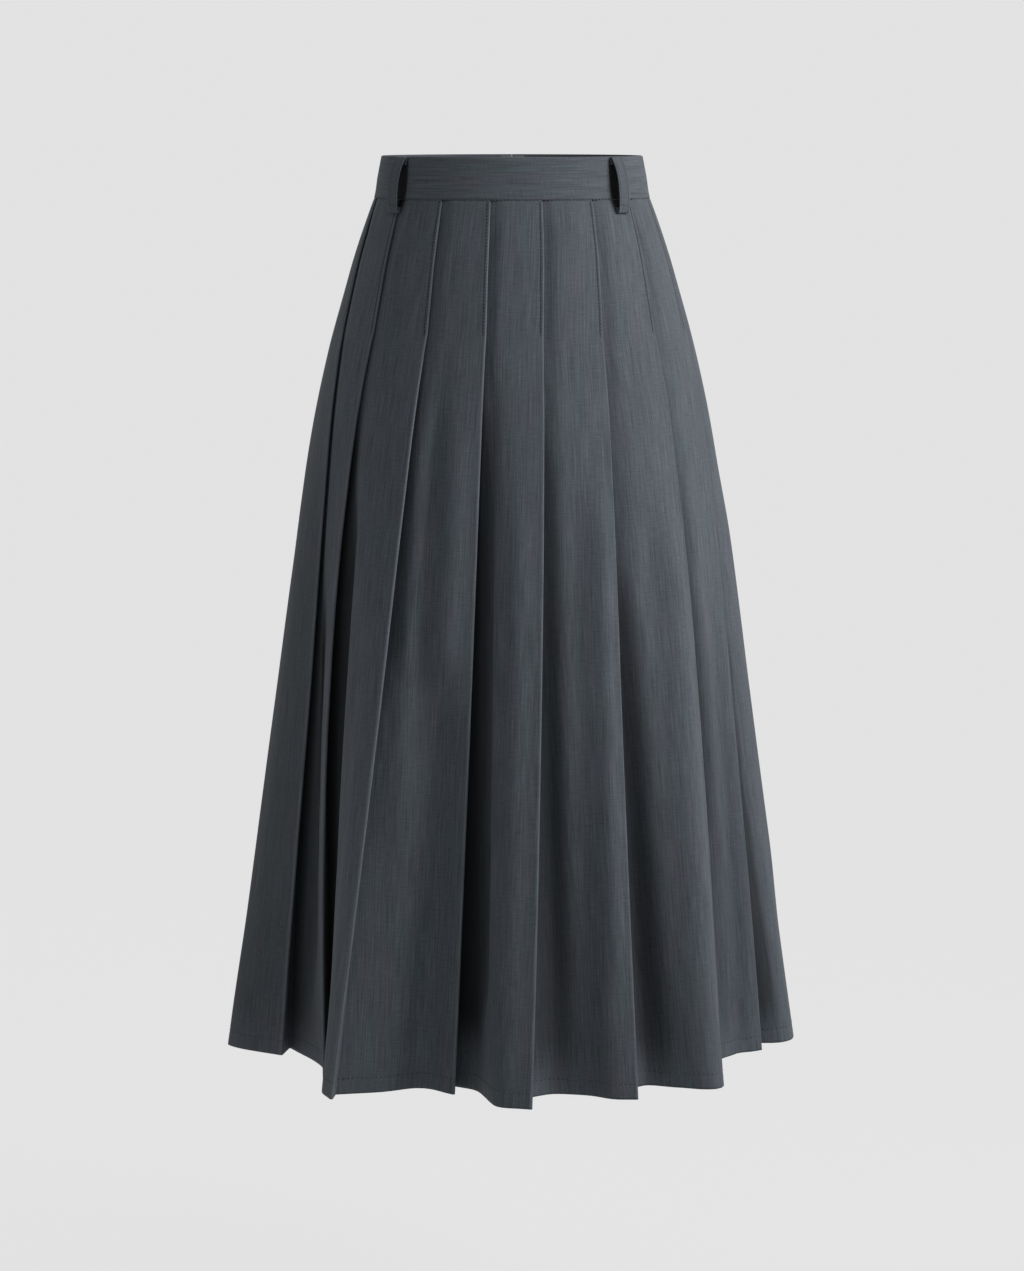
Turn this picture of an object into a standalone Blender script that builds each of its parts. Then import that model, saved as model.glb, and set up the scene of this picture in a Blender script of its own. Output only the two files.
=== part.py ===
"""Pleated midi skirt, filled out as when worn: a straight waistband, sixteen knife pleats stitched down
over the hips, four belt loops and a concealed zip at the centre back.

Metres, +Z up, the front faces -Y. The origin is the centre of the waistband, halfway up it.
A drop is a distance below the waistband's top edge. A bearing goes round the skirt in degrees: 0 is the
centre front, 90 the side at +X and 180 the centre back. Every pleat lies over the next one that way round.
"""

import math
from collections import namedtuple

import bmesh
import bpy
import numpy as np
from mathutils import Matrix, Vector

# Driving dimensions
BAND_HEIGHT = 0.036
BAND_WALL = 0.0024
STITCHED_TO = 0.1485  # drop at which the pleats are let go
LENGTH = 0.7885  # drop of the hem
WALL = 0.0011  # the pleated cloth
SEAM = 0.0003  # clear space between two pieces
LAYER_GAP = 0.0004  # clear space between the layers of a folded pleat
RETURN_AT_BAND = 0.019  # cloth folded back under a pleat's edge
RETURN_AT_RELEASE = 0.025
LAYER = WALL + LAYER_GAP  # from one folded layer to the next
FOLD_AT_HEM = 0.0024  # how wide a fold turns where the pleats hang free
PAST_FOLD = 0.002  # how far a pleat runs on beyond the fold above it before it rises

# The outside of the skirt: half of its width, and how far it reaches to the front and to the back
Outline = namedtuple("Outline", "drop half_width front back")
OUTLINE = [
    Outline(0.000, 0.1130, 0.0842, 0.0857),
    Outline(0.018, 0.1165, 0.0868, 0.0878),
    Outline(0.036, 0.1196, 0.0894, 0.0904),
    Outline(0.046, 0.1233, 0.0921, 0.0936),
    Outline(0.082, 0.1357, 0.1010, 0.1045),
    Outline(0.117, 0.1460, 0.1087, 0.1137),
    Outline(0.152, 0.1559, 0.1149, 0.1225),
    Outline(0.212, 0.1702, 0.1262, 0.1352),
    Outline(0.301, 0.1859, 0.1408, 0.1498),
    Outline(0.478, 0.2113, 0.1673, 0.1754),
    Outline(0.660, 0.2364, 0.1902, 0.1974),
    Outline(LENGTH, 0.2546, 0.2058, 0.2140),
]

# One row for each pleat. The first three columns are the bearings of its fold at the band, at the release
# and at the hem. reach is how far out the hem fold stands, as a share of the outline. crease and sink are
# the bearing and reach of the inner crease behind it. near and far are how much its face stands out at a
# third and two thirds of its width at the hem, and bow is how many degrees the fold bends aside midway.
Pleat = namedtuple("Pleat", "band release hem reach crease sink near far bow")
PLEATS = [
    Pleat(-80.2, -71.2, -73.9, 0.850, -80.6, 0.800, 0.044, 0.033, 9.0),
    Pleat(-53.5, -50.2, -47.4, 0.880, -53.4, 0.764, -0.006, -0.009, -3.6),
    Pleat(-30.1, -28.0, -33.7, 1.103, -34.8, 1.045, -0.002, 0.009, 1.2),
    Pleat(-9.1, -8.5, -13.2, 0.876, -15.9, 0.760, -0.006, -0.008, 0.7),
    Pleat(12.1, 9.5, 3.0, 1.075, 3.2, 0.909, -0.003, 0.011, 0.0),
    Pleat(34.4, 29.4, 23.7, 1.014, 27.4, 0.862, -0.013, -0.003, -1.2),
    Pleat(56.8, 51.6, 48.4, 0.934, 56.5, 0.831, 0.004, 0.026, 0.9),
    Pleat(79.0, 75.6, 79.8, 0.875, 86.5, 0.835, -0.013, -0.009, -4.2),
    Pleat(101.0, 100.0, 102.2, 1.004, 101.0, 0.880, 0.022, 0.017, 2.0),
    Pleat(122.5, 121.5, 124.0, 0.900, 125.5, 0.780, -0.006, 0.004, -2.0),
    Pleat(143.5, 143.0, 142.0, 1.060, 140.5, 0.930, 0.004, 0.012, 1.5),
    Pleat(163.5, 163.5, 166.0, 0.930, 163.0, 0.800, 0.008, 0.004, 0.0),
    Pleat(183.5, 184.0, 186.0, 1.050, 184.5, 0.905, -0.006, 0.008, 1.0),
    Pleat(205.0, 206.0, 207.5, 0.985, 205.0, 0.850, 0.010, 0.014, 0.0),
    Pleat(228.0, 231.0, 231.5, 1.045, 231.0, 0.905, -0.008, 0.006, -2.0),
    Pleat(253.5, 258.5, 258.5, 0.930, 261.5, 0.860, 0.012, 0.016, 0.0),
]
PANELS = {  # the pleats whose hidden returns carry the seams at the two ends
    "skirt_front": (0, 8),
    "skirt_back_right": (8, 12),
    "skirt_back_left": (12, 16),
}
SECTION_DROPS = (
    BAND_HEIGHT + SEAM, 0.046, 0.082, 0.117, STITCHED_TO, 0.188, 0.243, 0.319, 0.421, 0.534, 0.659, LENGTH,
)
FREE_WIDTHS = (0.4, 0.7, 1.0)  # points across a face, from the fold above it to where its own lap starts

BAND_SEGMENTS = 72
BAND_DROPS = (0.0, 0.0012, 0.018, BAND_HEIGHT)
BAND_EDGE_ROLL = 0.0006  # the top edge is turned in by this much
ZIP_SLIT = 0.0016

# Belt loops
LOOP_WIDTH = 0.012
LOOP_THICKNESS = 0.0012
LOOPS = {
    "belt_loop_front_left": -55.0,
    "belt_loop_front_right": 50.5,
    "belt_loop_back_left": -124.0,
    "belt_loop_back_right": 124.0,
}
LoopPoint = namedtuple("LoopPoint", "drop stand_off")
LOOP_LINE = [
    LoopPoint(0.0008, 0.0012),
    LoopPoint(0.0030, 0.0032),
    LoopPoint(0.0080, 0.0056),
    LoopPoint(0.0160, 0.0073),
    LoopPoint(0.0250, 0.0079),
    LoopPoint(0.0330, 0.0074),
    LoopPoint(0.0400, 0.0055),
    LoopPoint(0.0445, 0.0030),
    LoopPoint(0.0468, 0.0016),
]

# Zip
TAPE_WIDTH = 0.010
TAPE_WALL = 0.0008
TAPE_TO = 0.175
TAPE_INSET = 0.0065  # from the outline to the middle of the tape, behind the folded layers
SLIDER_DROP = 0.0075
SLIDER_WIDTH = 0.0055
SLIDER_HEIGHT = 0.0075
SLIDER_PLATE = 0.0013
NECK_WIDTH = 0.001
NECK_HEIGHT = 0.005
EYE_INNER = 0.0011
EYE_OUTER = 0.0022
EYE_WIDTH = 0.0014
EYE_SEGMENTS = 16
PULL_THICKNESS = 0.001
PULL_BAR = 0.001
PULL_SLOT = 0.0024  # width of the slot that the eye passes through
PULL_SLOT_HEIGHT = 0.0024
PULL_LENGTH = 0.024
PULL_HALF_WIDTH = 0.0023
PULL_LEAN = 4.0  # degrees that the pull leans back towards the band


def band_z(drop):
    return BAND_HEIGHT / 2 - drop


def start_scene():
    """Clears the scene and makes one collection for the skirt and one for its cutters."""
    for old in list(bpy.data.objects):
        bpy.data.objects.remove(old)
    made = []
    for name in ("pleated_midi_skirt", "cutters"):
        collection = bpy.data.collections.new(name)
        bpy.context.scene.collection.children.link(collection)
        made.append(collection)
    return made


def finish(name, colour, roughness, metallic=0.0):
    material = bpy.data.materials.new(name)
    material.use_nodes = True
    shader = material.node_tree.nodes["Principled BSDF"]
    shader.inputs["Base Color"].default_value = (*colour, 1.0)
    shader.inputs["Roughness"].default_value = roughness
    shader.inputs["Metallic"].default_value = metallic
    return material


# Outline and pleats


def outline_at(drop):
    """The outline at a drop, on a smooth curve through the rows of OUTLINE."""
    drops = np.array([row.drop for row in OUTLINE])
    sizes = np.array([row[1:] for row in OUTLINE])
    slopes = np.gradient(sizes, drops, axis=0)
    i = int(np.clip(np.searchsorted(drops, drop) - 1, 0, len(drops) - 2))
    step = drops[i + 1] - drops[i]
    t = (drop - drops[i]) / step
    start = sizes[i] * (1 + 2 * t) * (1 - t) ** 2 + slopes[i] * step * t * (1 - t) ** 2
    end = sizes[i + 1] * (3 - 2 * t) * t**2 + slopes[i + 1] * step * (t - 1) * t**2
    return Outline(drop, *(start + end))


def on_outline(outline, bearing, reach=1.0, inward=0.0):
    """A point in plan at a bearing, at a share of the outline, moved inward along its normal."""
    angle = math.radians(bearing)
    depth = outline.front if math.cos(angle) > 0 else outline.back
    point = np.array([outline.half_width * math.sin(angle), -depth * math.cos(angle)]) * reach
    normal = np.array([math.sin(angle) / outline.half_width, -math.cos(angle) / depth])
    return point - inward * normal / np.linalg.norm(normal)


def degrees_of(outline, bearing, length):
    """How many degrees of bearing a length takes up along the outline."""
    angle = math.radians(bearing)
    depth = outline.front if math.cos(angle) > 0 else outline.back
    rate = math.hypot(outline.half_width * math.cos(angle), depth * math.sin(angle))
    return math.degrees(length / rate)


def unit(vector):
    return vector / np.linalg.norm(vector)


def mix(a, b, share):
    return a + (b - a) * share


def openness(drop):
    """0 where the pleats are stitched down, growing to 1 at the hem."""
    return max(0.0, (drop - STITCHED_TO) / (LENGTH - STITCHED_TO)) ** 0.85


def fold_bearing(pleat, drop):
    if drop <= STITCHED_TO:
        share = (drop - BAND_HEIGHT) / (STITCHED_TO - BAND_HEIGHT)
        return mix(pleat.band, pleat.release, share)
    free = openness(drop)
    return mix(pleat.release, pleat.hem, free) + pleat.bow * math.sin(math.pi * free)


def folded_back(drop):
    """How much cloth is folded back under a pleat where it lies flat."""
    share = min(1.0, (drop - BAND_HEIGHT) / (STITCHED_TO - BAND_HEIGHT))
    return mix(RETURN_AT_BAND, RETURN_AT_RELEASE, share)


def closed_turns(outline, drop, pleat):
    """The two points of a pleat's fold and the two of its inner crease, where it lies flat."""
    bearing = fold_bearing(pleat, drop)
    under = bearing - degrees_of(outline, bearing, folded_back(drop))
    places = ((bearing, 0), (bearing, 1), (under, 1), (under, 2))
    return [on_outline(outline, b, 1.0, WALL / 2 + layer * LAYER) for b, layer in places]


def open_turns(outline, drop, pleat, before, after):
    """The same four points where it hangs free. before and after are the creases on its two sides."""
    shift = fold_bearing(pleat, drop) - pleat.hem
    fold = on_outline(outline, pleat.hem + shift, pleat.reach)
    crease = on_outline(outline, pleat.crease + shift, pleat.sink)
    outward = unit(unit(fold - before) - unit(crease - fold))
    inward = unit(unit(crease - fold) - unit(after - crease))
    fold_turn = np.array([-outward[1], outward[0]]) * FOLD_AT_HEM
    crease_turn = np.array([inward[1], -inward[0]]) * FOLD_AT_HEM
    return [fold, fold + fold_turn, crease, crease + crease_turn]


def turned(pleats_round, k):
    """Pleat k of the ring, with whole turns added for a pleat beyond either end of the table."""
    whole, row = divmod(k, len(pleats_round))
    pleat = pleats_round[row]
    full = 360.0 * whole
    return pleat._replace(
        band=pleat.band + full,
        release=pleat.release + full,
        hem=pleat.hem + full,
        crease=pleat.crease + full,
    )


def free_crease(outline, drop, pleat):
    return on_outline(outline, pleat.crease + fold_bearing(pleat, drop) - pleat.hem, pleat.sink)


def free_fold(outline, drop, pleat):
    return on_outline(outline, fold_bearing(pleat, drop), pleat.reach)


def swing(start, end, share):
    """A vector turned and stretched part of the way from start to end."""
    turn = math.atan2(start[0] * end[1] - start[1] * end[0], np.dot(start, end)) * share
    length = mix(np.linalg.norm(start), np.linalg.norm(end), share)
    cos, sin = math.cos(turn), math.sin(turn)
    return np.array([cos * start[0] - sin * start[1], sin * start[0] + cos * start[1]]) * (
        length / np.linalg.norm(start)
    )


def turns(outline, drop, k):
    """The fold and crease points of pleat k at a drop: its return swings inward as the pleat opens."""
    pleat = turned(PLEATS, k)
    before = free_crease(outline, drop, turned(PLEATS, k - 1))
    after = free_fold(outline, drop, turned(PLEATS, k + 1))
    flat = closed_turns(outline, drop, pleat)
    hung = open_turns(outline, drop, pleat, before, after)
    points = [mix(flat[0], hung[0], openness(drop))]
    for i in (1, 2, 3):
        step = swing(flat[i] - flat[i - 1], hung[i] - hung[i - 1], openness(drop))
        points.append(points[-1] + step)
    return points


def across_face(outline, drop, k):
    """The points across the face of pleat k between its two ends: two behind the fold of the pleat before
    it, where it runs along that pleat's return, and then those in view, as far as its own lap."""
    pleat, last = turned(PLEATS, k), turned(PLEATS, k - 1)
    free = openness(drop)
    end, above = fold_bearing(pleat, drop), fold_bearing(last, drop)
    start = above - degrees_of(outline, above, folded_back(drop))
    past = above + degrees_of(outline, above, PAST_FOLD)
    lap = end - degrees_of(outline, end, folded_back(drop))
    _, fold_end, crease, crease_end = turns(outline, drop, k - 1)
    chord = turns(outline, drop, k)[0] - crease_end
    out = np.array([chord[1], -chord[0]]) / np.linalg.norm(chord)
    beneath = unit(mix(unit(fold_end - crease), unit(chord), free))
    covered = np.linalg.norm(fold_end - crease)
    flat = {above: crease_end + beneath * covered, past: crease_end + beneath * (covered + PAST_FOLD)}
    for share in FREE_WIDTHS:
        bearing = mix(past, lap, share)
        reach = mix(1.0, mix(last.reach, pleat.reach, (bearing - above) / (end - above)), free)
        flat[bearing] = on_outline(outline, bearing, reach, WALL / 2)
    points = []
    for bearing, place in flat.items():
        s = (bearing - start) / (end - start)
        bulge = 13.5 * s * (1 - s) * ((2 / 3 - s) * pleat.near + (s - 1 / 3) * pleat.far)
        hung = crease_end + s * chord + out * bulge * math.sqrt(free)
        points.append(mix(place, hung, free))
    return points


def ring(drop):
    """Every pleat's points in plan at a drop, drawn in or out at each side to meet the outline's width."""
    outline = outline_at(drop)
    pleats = []
    for k in range(len(PLEATS)):
        start = turns(outline, drop, k - 1)[3]
        fold, fold_end, crease, _ = turns(outline, drop, k)
        pleats.append([start, *across_face(outline, drop, k), fold, fold_end, crease])
    xs = np.array([p[0] for points in pleats for p in points])
    room = outline.half_width - WALL / 2
    right, left = room / xs.max(), room / -xs.min()
    for points in pleats:
        for point in points:
            point[0] *= right if point[0] > 0 else left
    return pleats


def panel_row(drop, first, last):
    """One row of a panel, from the hidden return of pleat first to the return of pleat last."""
    pleats = ring(drop)
    count = len(pleats)

    def seam_points(k):
        fold_end, crease = pleats[k % count][-2:]
        middle = (fold_end + crease) / 2
        along = unit(crease - fold_end)
        return middle - along * SEAM / 2, middle + along * SEAM / 2

    row = [seam_points(first)[1], pleats[first % count][-1]]
    for k in range(first + 1, last + 1):
        row += pleats[k % count]
    row[-1] = seam_points(last)[0]
    return band_z(drop), row


def beside(path, distance):
    """A path in plan moved sideways, outward for a path that goes round the skirt, with mitred corners."""
    points = np.array(path)
    steps = np.diff(points, axis=0)
    steps /= np.linalg.norm(steps, axis=1)[:, None]
    normals = np.column_stack([steps[:, 1], -steps[:, 0]])
    before, after = np.vstack([normals[:1], normals]), np.vstack([normals, normals[-1:]])
    mitres = before + after
    mitres *= 2 / np.sum(mitres**2, axis=1)[:, None]
    return points + mitres * distance


def facets(upper, lower, onward):
    """The two triangles of one patch. onward says which way its diagonal runs, so that the two sides of a
    wall, and the layers that lie on each other in a fold, are faceted alike and never cross."""
    (a, b), (c, d) = upper, lower
    return ((a, c, d), (a, d, b)) if onward else ((a, c, b), (b, c, d))


def lofted(name, paths, wall, material, collection):
    """A closed wall through level sections. paths holds a height and the wall's middle line in plan for
    each section, and every line has as many points as the next."""
    mesh = bpy.data.meshes.new(name)
    bm = bmesh.new()
    sections = []
    for z, path in paths:
        sides = beside(path, wall / 2), beside(path, -wall / 2)
        sections.append([[bm.verts.new((x, y, z)) for x, y in side] for side in sides])
    top = np.array(paths[0][1])
    steps = np.diff(top, axis=0)
    onward = top[:-1, 0] * steps[:, 1] > top[:-1, 1] * steps[:, 0]
    for upper, lower in zip(sections, sections[1:]):
        for high, low in zip(upper, lower):
            for i, forward in enumerate(onward):
                for triangle in facets(high[i : i + 2], low[i : i + 2], forward):
                    bm.faces.new(triangle)
        for end in (0, -1):
            bm.faces.new((upper[0][end], lower[0][end], lower[1][end], upper[1][end]))
    for outer, inner in (sections[0], sections[-1]):
        for i in range(len(onward)):
            bm.faces.new((outer[i], outer[i + 1], inner[i + 1], inner[i]))
    bmesh.ops.recalc_face_normals(bm, faces=bm.faces)
    bm.to_mesh(mesh)
    bm.free()
    mesh.materials.append(material)
    mesh.shade_smooth()
    mesh.set_sharp_from_angle(angle=math.radians(40))
    thing = bpy.data.objects.new(name, mesh)
    collection.objects.link(thing)
    return thing


def add_panels(cloth, collection):
    for name, (first, last) in PANELS.items():
        rows = [panel_row(drop, first, last) for drop in SECTION_DROPS]
        lofted(name, rows, WALL, cloth, collection)


def add_waistband(cloth, collection):
    """The band runs all the way round from one side of the zip to the other."""
    rows = []
    for drop in BAND_DROPS:
        outline = outline_at(drop)
        edge = degrees_of(outline, 180.0, ZIP_SLIT / 2)
        inward = BAND_WALL / 2 + (BAND_EDGE_ROLL if drop == 0.0 else 0.0)
        bearings = np.linspace(180.0 + edge, 540.0 - edge, BAND_SEGMENTS + 1)
        rows.append((band_z(drop), [on_outline(outline, bearing, 1.0, inward) for bearing in bearings]))
    lofted("waistband", rows, BAND_WALL, cloth, collection)


def flat_piece(name, outlines, thickness, material, collection):
    """A plate of even thickness. Its outline and any hole are given across and up, in its own XZ plane."""
    curve = bpy.data.curves.new(name, "CURVE")
    curve.dimensions = "2D"
    curve.fill_mode = "BOTH"
    curve.extrude = thickness / 2
    for points in outlines:
        spline = curve.splines.new("POLY")
        spline.points.add(len(points) - 1)
        for spot, (x, z) in zip(spline.points, points):
            spot.co = (x, z, 0.0, 1.0)
        spline.use_cyclic_u = True
    flat = bpy.data.objects.new("flat_outline", curve)
    collection.objects.link(flat)
    mesh = bpy.data.meshes.new_from_object(flat.evaluated_get(bpy.context.evaluated_depsgraph_get()))
    bpy.data.objects.remove(flat)
    bm = bmesh.new()
    bm.from_mesh(mesh)
    bmesh.ops.remove_doubles(bm, verts=bm.verts, dist=0.00001)
    bmesh.ops.recalc_face_normals(bm, faces=bm.faces)
    bm.to_mesh(mesh)
    bm.free()
    mesh.name = name
    mesh.transform(Matrix.Rotation(math.pi / 2, 4, "X"))
    mesh.materials.clear()
    mesh.materials.append(material)
    plate = bpy.data.objects.new(name, mesh)
    collection.objects.link(plate)
    return plate


def add_belt_loops(cloth, collection):
    """Each loop is a strip that bows out from the band between its two sewn ends."""
    for name, bearing in LOOPS.items():
        origin = on_outline(outline_at(0.0), bearing)
        out = unit(origin - on_outline(outline_at(0.0), bearing, 1.0, WALL))
        line = []
        for place in LOOP_LINE:
            surface = np.dot(on_outline(outline_at(place.drop), bearing) - origin, out)
            line.append((surface + place.stand_off, band_z(place.drop)))
        outline = [*beside(line, LOOP_THICKNESS / 2), *beside(line, -LOOP_THICKNESS / 2)[::-1]]
        loop = flat_piece(name, [outline], LOOP_WIDTH, cloth, collection)
        loop.location = (*origin, 0.0)
        loop.rotation_euler = (0.0, 0.0, math.atan2(out[1], out[0]))


def add_zip_tapes(tape, collection):
    """Two tapes inside, one on each side of the closed zip."""
    drops = [0.0006, 0.018, *(drop for drop in SECTION_DROPS if BAND_HEIGHT < drop < TAPE_TO), TAPE_TO]
    for name, edges in (
        ("zip_tape_right", (ZIP_SLIT / 2 + TAPE_WIDTH, ZIP_SLIT / 2)),
        ("zip_tape_left", (-ZIP_SLIT / 2, -ZIP_SLIT / 2 - TAPE_WIDTH)),
    ):
        rows = []
        for drop in drops:
            outline = outline_at(drop)
            bearings = [180.0 - degrees_of(outline, 180.0, x) for x in edges]
            path = [on_outline(outline, bearing, 1.0, TAPE_INSET) for bearing in bearings]
            rows.append((band_z(drop), path))
        lofted(name, rows, TAPE_WALL, tape, collection)


# Slider and pull


def zip_frame():
    """The eye's axis at the centre back, and the slope of the band there."""
    top, bottom = outline_at(0.0), outline_at(BAND_HEIGHT)
    slope = math.atan2(bottom.back - top.back, BAND_HEIGHT)
    at = outline_at(SLIDER_DROP)
    face = Vector((0.0, at.back, band_z(SLIDER_DROP)))
    outward = Vector((0.0, math.cos(slope), math.sin(slope)))
    return face, outward, slope


def add_box(name, size, centre, collection):
    """A box about a centre given across, outward and up from the band's face."""
    bpy.ops.mesh.primitive_cube_add(size=1.0)
    box = bpy.context.object
    box.name = name
    box.data.transform(Matrix.Translation(centre) @ Matrix.Diagonal((*size, 1.0)))
    for home in list(box.users_collection):
        home.objects.unlink(box)
    collection.objects.link(box)
    return box


def add_disc(name, radius, width, out, collection):
    """A round bar across the zip, centred on the eye's axis."""
    bpy.ops.mesh.primitive_cylinder_add(radius=radius, depth=width, vertices=EYE_SEGMENTS)
    disc = bpy.context.object
    disc.name = name
    disc.data.transform(Matrix.Translation((0.0, out, 0.0)) @ Matrix.Rotation(math.pi / 2, 4, "Y"))
    for home in list(disc.users_collection):
        home.objects.unlink(disc)
    collection.objects.link(disc)
    return disc


def combine(base, other, operation):
    """Joins or cuts base by other, which is kept as a wire."""
    other.hide_render = True
    other.display_type = "WIRE"
    step = base.modifiers.new(other.name, "BOOLEAN")
    step.operation = operation
    step.object = other
    step.solver = "EXACT"


def eye_height():
    """How far the eye's axis stands off the band's face."""
    return SEAM + SLIDER_PLATE + EYE_INNER


def add_slider(metal, collection, cutters):
    """An outer plate with a round eye, joined by a neck through the slit to a plate behind the tapes."""
    face, _, slope = zip_frame()
    place = Matrix.Translation(face) @ Matrix.Rotation(slope, 4, "X")
    plate_size = (SLIDER_WIDTH, SLIDER_PLATE, SLIDER_HEIGHT)
    outer = SEAM + SLIDER_PLATE / 2
    inner = -(TAPE_INSET + TAPE_WALL / 2 + 2 * SEAM + SLIDER_PLATE / 2)
    slider = add_box("zip_slider", plate_size, (0.0, outer, 0.0), collection)
    neck_size = (NECK_WIDTH, outer - inner, NECK_HEIGHT)
    parts = [
        add_box("slider_inner_plate", plate_size, (0.0, inner, 0.0), cutters),
        add_box("slider_neck", neck_size, (0.0, (outer + inner) / 2, 0.0), cutters),
        add_disc("slider_eye", EYE_OUTER, EYE_WIDTH, eye_height(), cutters),
    ]
    hole = add_disc("slider_eye_hole", EYE_INNER, 2 * EYE_WIDTH, eye_height(), cutters)
    for thing in (slider, *parts, hole):
        thing.matrix_world = place
    for part in parts:
        combine(slider, part, "UNION")
    combine(slider, hole, "DIFFERENCE")
    slider.data.materials.append(metal)


def pull_outline():
    """Half of the pull's flat outline, from its top middle round one side to its lower end."""
    top = PULL_BAR / 2
    straight = [(0.0, top), (PULL_HALF_WIDTH, top), (PULL_HALF_WIDTH, -PULL_LENGTH / 6)]
    waist = [(PULL_HALF_WIDTH * 0.72, -PULL_LENGTH * 0.40), (PULL_HALF_WIDTH, -PULL_LENGTH * 0.75)]
    centre = -PULL_LENGTH + PULL_HALF_WIDTH
    arc = []
    for step in range(5):
        angle = math.radians(22.5 * step)
        arc.append((PULL_HALF_WIDTH * math.cos(angle), centre - PULL_HALF_WIDTH * math.sin(angle)))
    return straight + waist + arc


def add_pull(metal, collection):
    """A flat pull whose top bar is held in the slider's eye. Its origin is on that bar, which it turns on."""
    face, outward, slope = zip_frame()
    half = pull_outline()
    outline = half + [(-x, z) for x, z in half[-2:0:-1]]
    side, top = PULL_SLOT / 2, -PULL_BAR / 2
    foot = top - PULL_SLOT_HEIGHT
    slot = [(side, top), (side, foot), (-side, foot), (-side, top)]
    pull = flat_piece("zip_pull", [outline, slot], PULL_THICKNESS, metal, collection)
    pull.location = face + outward * eye_height()
    pull.rotation_euler = (slope - math.radians(PULL_LEAN), 0.0, 0.0)


def main():
    skirt, cutters = start_scene()
    cloth = finish("slate_suiting", (0.050, 0.056, 0.064), 0.85)
    band_cloth = finish("slate_suiting_band", (0.062, 0.068, 0.076), 0.85)
    loop_cloth = finish("slate_suiting_loops", (0.058, 0.064, 0.072), 0.85)
    tape = finish("zip_tape", (0.035, 0.038, 0.044), 0.75)
    metal = finish("zip_metal", (0.10, 0.105, 0.11), 0.4, 0.9)
    add_waistband(band_cloth, skirt)
    add_panels(cloth, skirt)
    add_belt_loops(loop_cloth, skirt)
    add_zip_tapes(tape, skirt)
    add_slider(metal, skirt, cutters)
    add_pull(metal, skirt)


main()
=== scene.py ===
# %% [markdown]
# # A pleated midi skirt, filled out as when worn
# The real skirt is one straight waistband, three panels of melange suiting folded into sixteen knife pleats,
# four belt loops, and a zip hidden in the pleat at the centre back. The pleats are stitched down over the
# hips and hang free below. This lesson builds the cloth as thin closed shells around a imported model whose
# sizes are fixed, so the first step is to load that model and to note the box that it fills.

import math
from collections import namedtuple

import bpy
import numpy as np
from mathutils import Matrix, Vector


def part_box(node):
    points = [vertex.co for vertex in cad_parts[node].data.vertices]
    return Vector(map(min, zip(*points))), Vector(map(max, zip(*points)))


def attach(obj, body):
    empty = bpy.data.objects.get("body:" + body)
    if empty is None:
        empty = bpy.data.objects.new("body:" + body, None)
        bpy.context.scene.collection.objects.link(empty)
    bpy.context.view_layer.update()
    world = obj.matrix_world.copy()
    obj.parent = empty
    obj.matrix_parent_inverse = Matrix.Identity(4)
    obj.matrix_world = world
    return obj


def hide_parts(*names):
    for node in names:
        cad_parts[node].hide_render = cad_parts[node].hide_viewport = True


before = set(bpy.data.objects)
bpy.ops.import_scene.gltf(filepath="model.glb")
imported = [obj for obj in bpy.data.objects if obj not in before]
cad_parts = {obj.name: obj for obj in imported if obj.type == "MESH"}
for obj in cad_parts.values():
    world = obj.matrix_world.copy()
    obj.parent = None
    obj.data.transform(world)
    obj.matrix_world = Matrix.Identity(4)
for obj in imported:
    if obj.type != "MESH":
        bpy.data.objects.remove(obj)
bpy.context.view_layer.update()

# %% [markdown]
# The camera stands 3.1 m in front of the skirt, a little above the waistband, and looks slightly down, which
# puts the skirt's middle in the middle of the picture. A long lens keeps the sides from spreading. A real
# photographer would do the same, because a close camera makes a skirt look like a bell.

# %% Camera
WAIST_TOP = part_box("waistband")[1].z
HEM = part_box("skirt_front")[0].z
EYE_DISTANCE = 3.10
EYE_ABOVE_BAND = 0.0441
LOOK_DOWN = math.radians(8.52)
LENS_MM = 100.5

camera = bpy.data.objects.new("camera", bpy.data.cameras.new("camera"))
camera.data.lens = LENS_MM
camera.location = (0.0, -EYE_DISTANCE, WAIST_TOP + EYE_ABOVE_BAND)
camera.rotation_euler = (math.pi / 2 - LOOK_DOWN, 0.0, 0.0)
bpy.context.scene.collection.objects.link(camera)
bpy.context.scene.camera = camera
print("camera height over the hem, m:", round(camera.location.z - HEM, 3))


# %% [markdown]
# Every piece here ends as a mesh made from numbers, and most are grids: rows of points that run along or down
# the cloth. These helpers turn a grid into quads, and give each corner a place on the flat cloth, in metres,
# and a place of its own in a map for baking. A mark is a number that each point carries and that a material
# can read. Blender's curve and grid tools could make the shapes, but would not keep those places.

# %% Helpers for meshes
def corners(grid):
    """The four corners of every cell of a grid."""
    return np.stack([grid[:-1, :-1], grid[1:, :-1], grid[1:, 1:], grid[:-1, 1:]], axis=2)


def patch(ids, us, vs, bake_place, flip=False):
    """A grid's quads, and where their corners lie on the cloth and in the bake."""
    start, across, down = np.array(bake_place)
    rows, columns = np.meshgrid(*(np.linspace(0, 1, count) for count in ids.shape), indexing="ij")
    spots = start + columns[..., None] * across + rows[..., None] * down
    order = (3, 2, 1, 0) if flip else (0, 1, 2, 3)
    parts = (corners(ids), 4), (np.stack([us, vs], axis=-1), 2), (corners(spots), 2)
    return [part[:, :, order].reshape(-1, width) for part, width in parts]


def add_mesh(name, points, faces, material, smooth=True):
    mesh = bpy.data.meshes.new(name)
    mesh.from_pydata([tuple(p) for p in points], [], [tuple(int(i) for i in f) for f in faces])
    mesh.validate()
    mesh.materials.append(material)
    if smooth:
        mesh.shade_smooth()
    thing = bpy.data.objects.new(name, mesh)
    bpy.context.scene.collection.objects.link(thing)
    return thing


def add_maps(thing, cloth, bake):
    for label, places in (("cloth", cloth), ("OFBake", bake)):
        layer = thing.data.uv_layers.new(name=label)
        layer.uv.foreach_set("vector", places.astype(np.float32).ravel())


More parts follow.
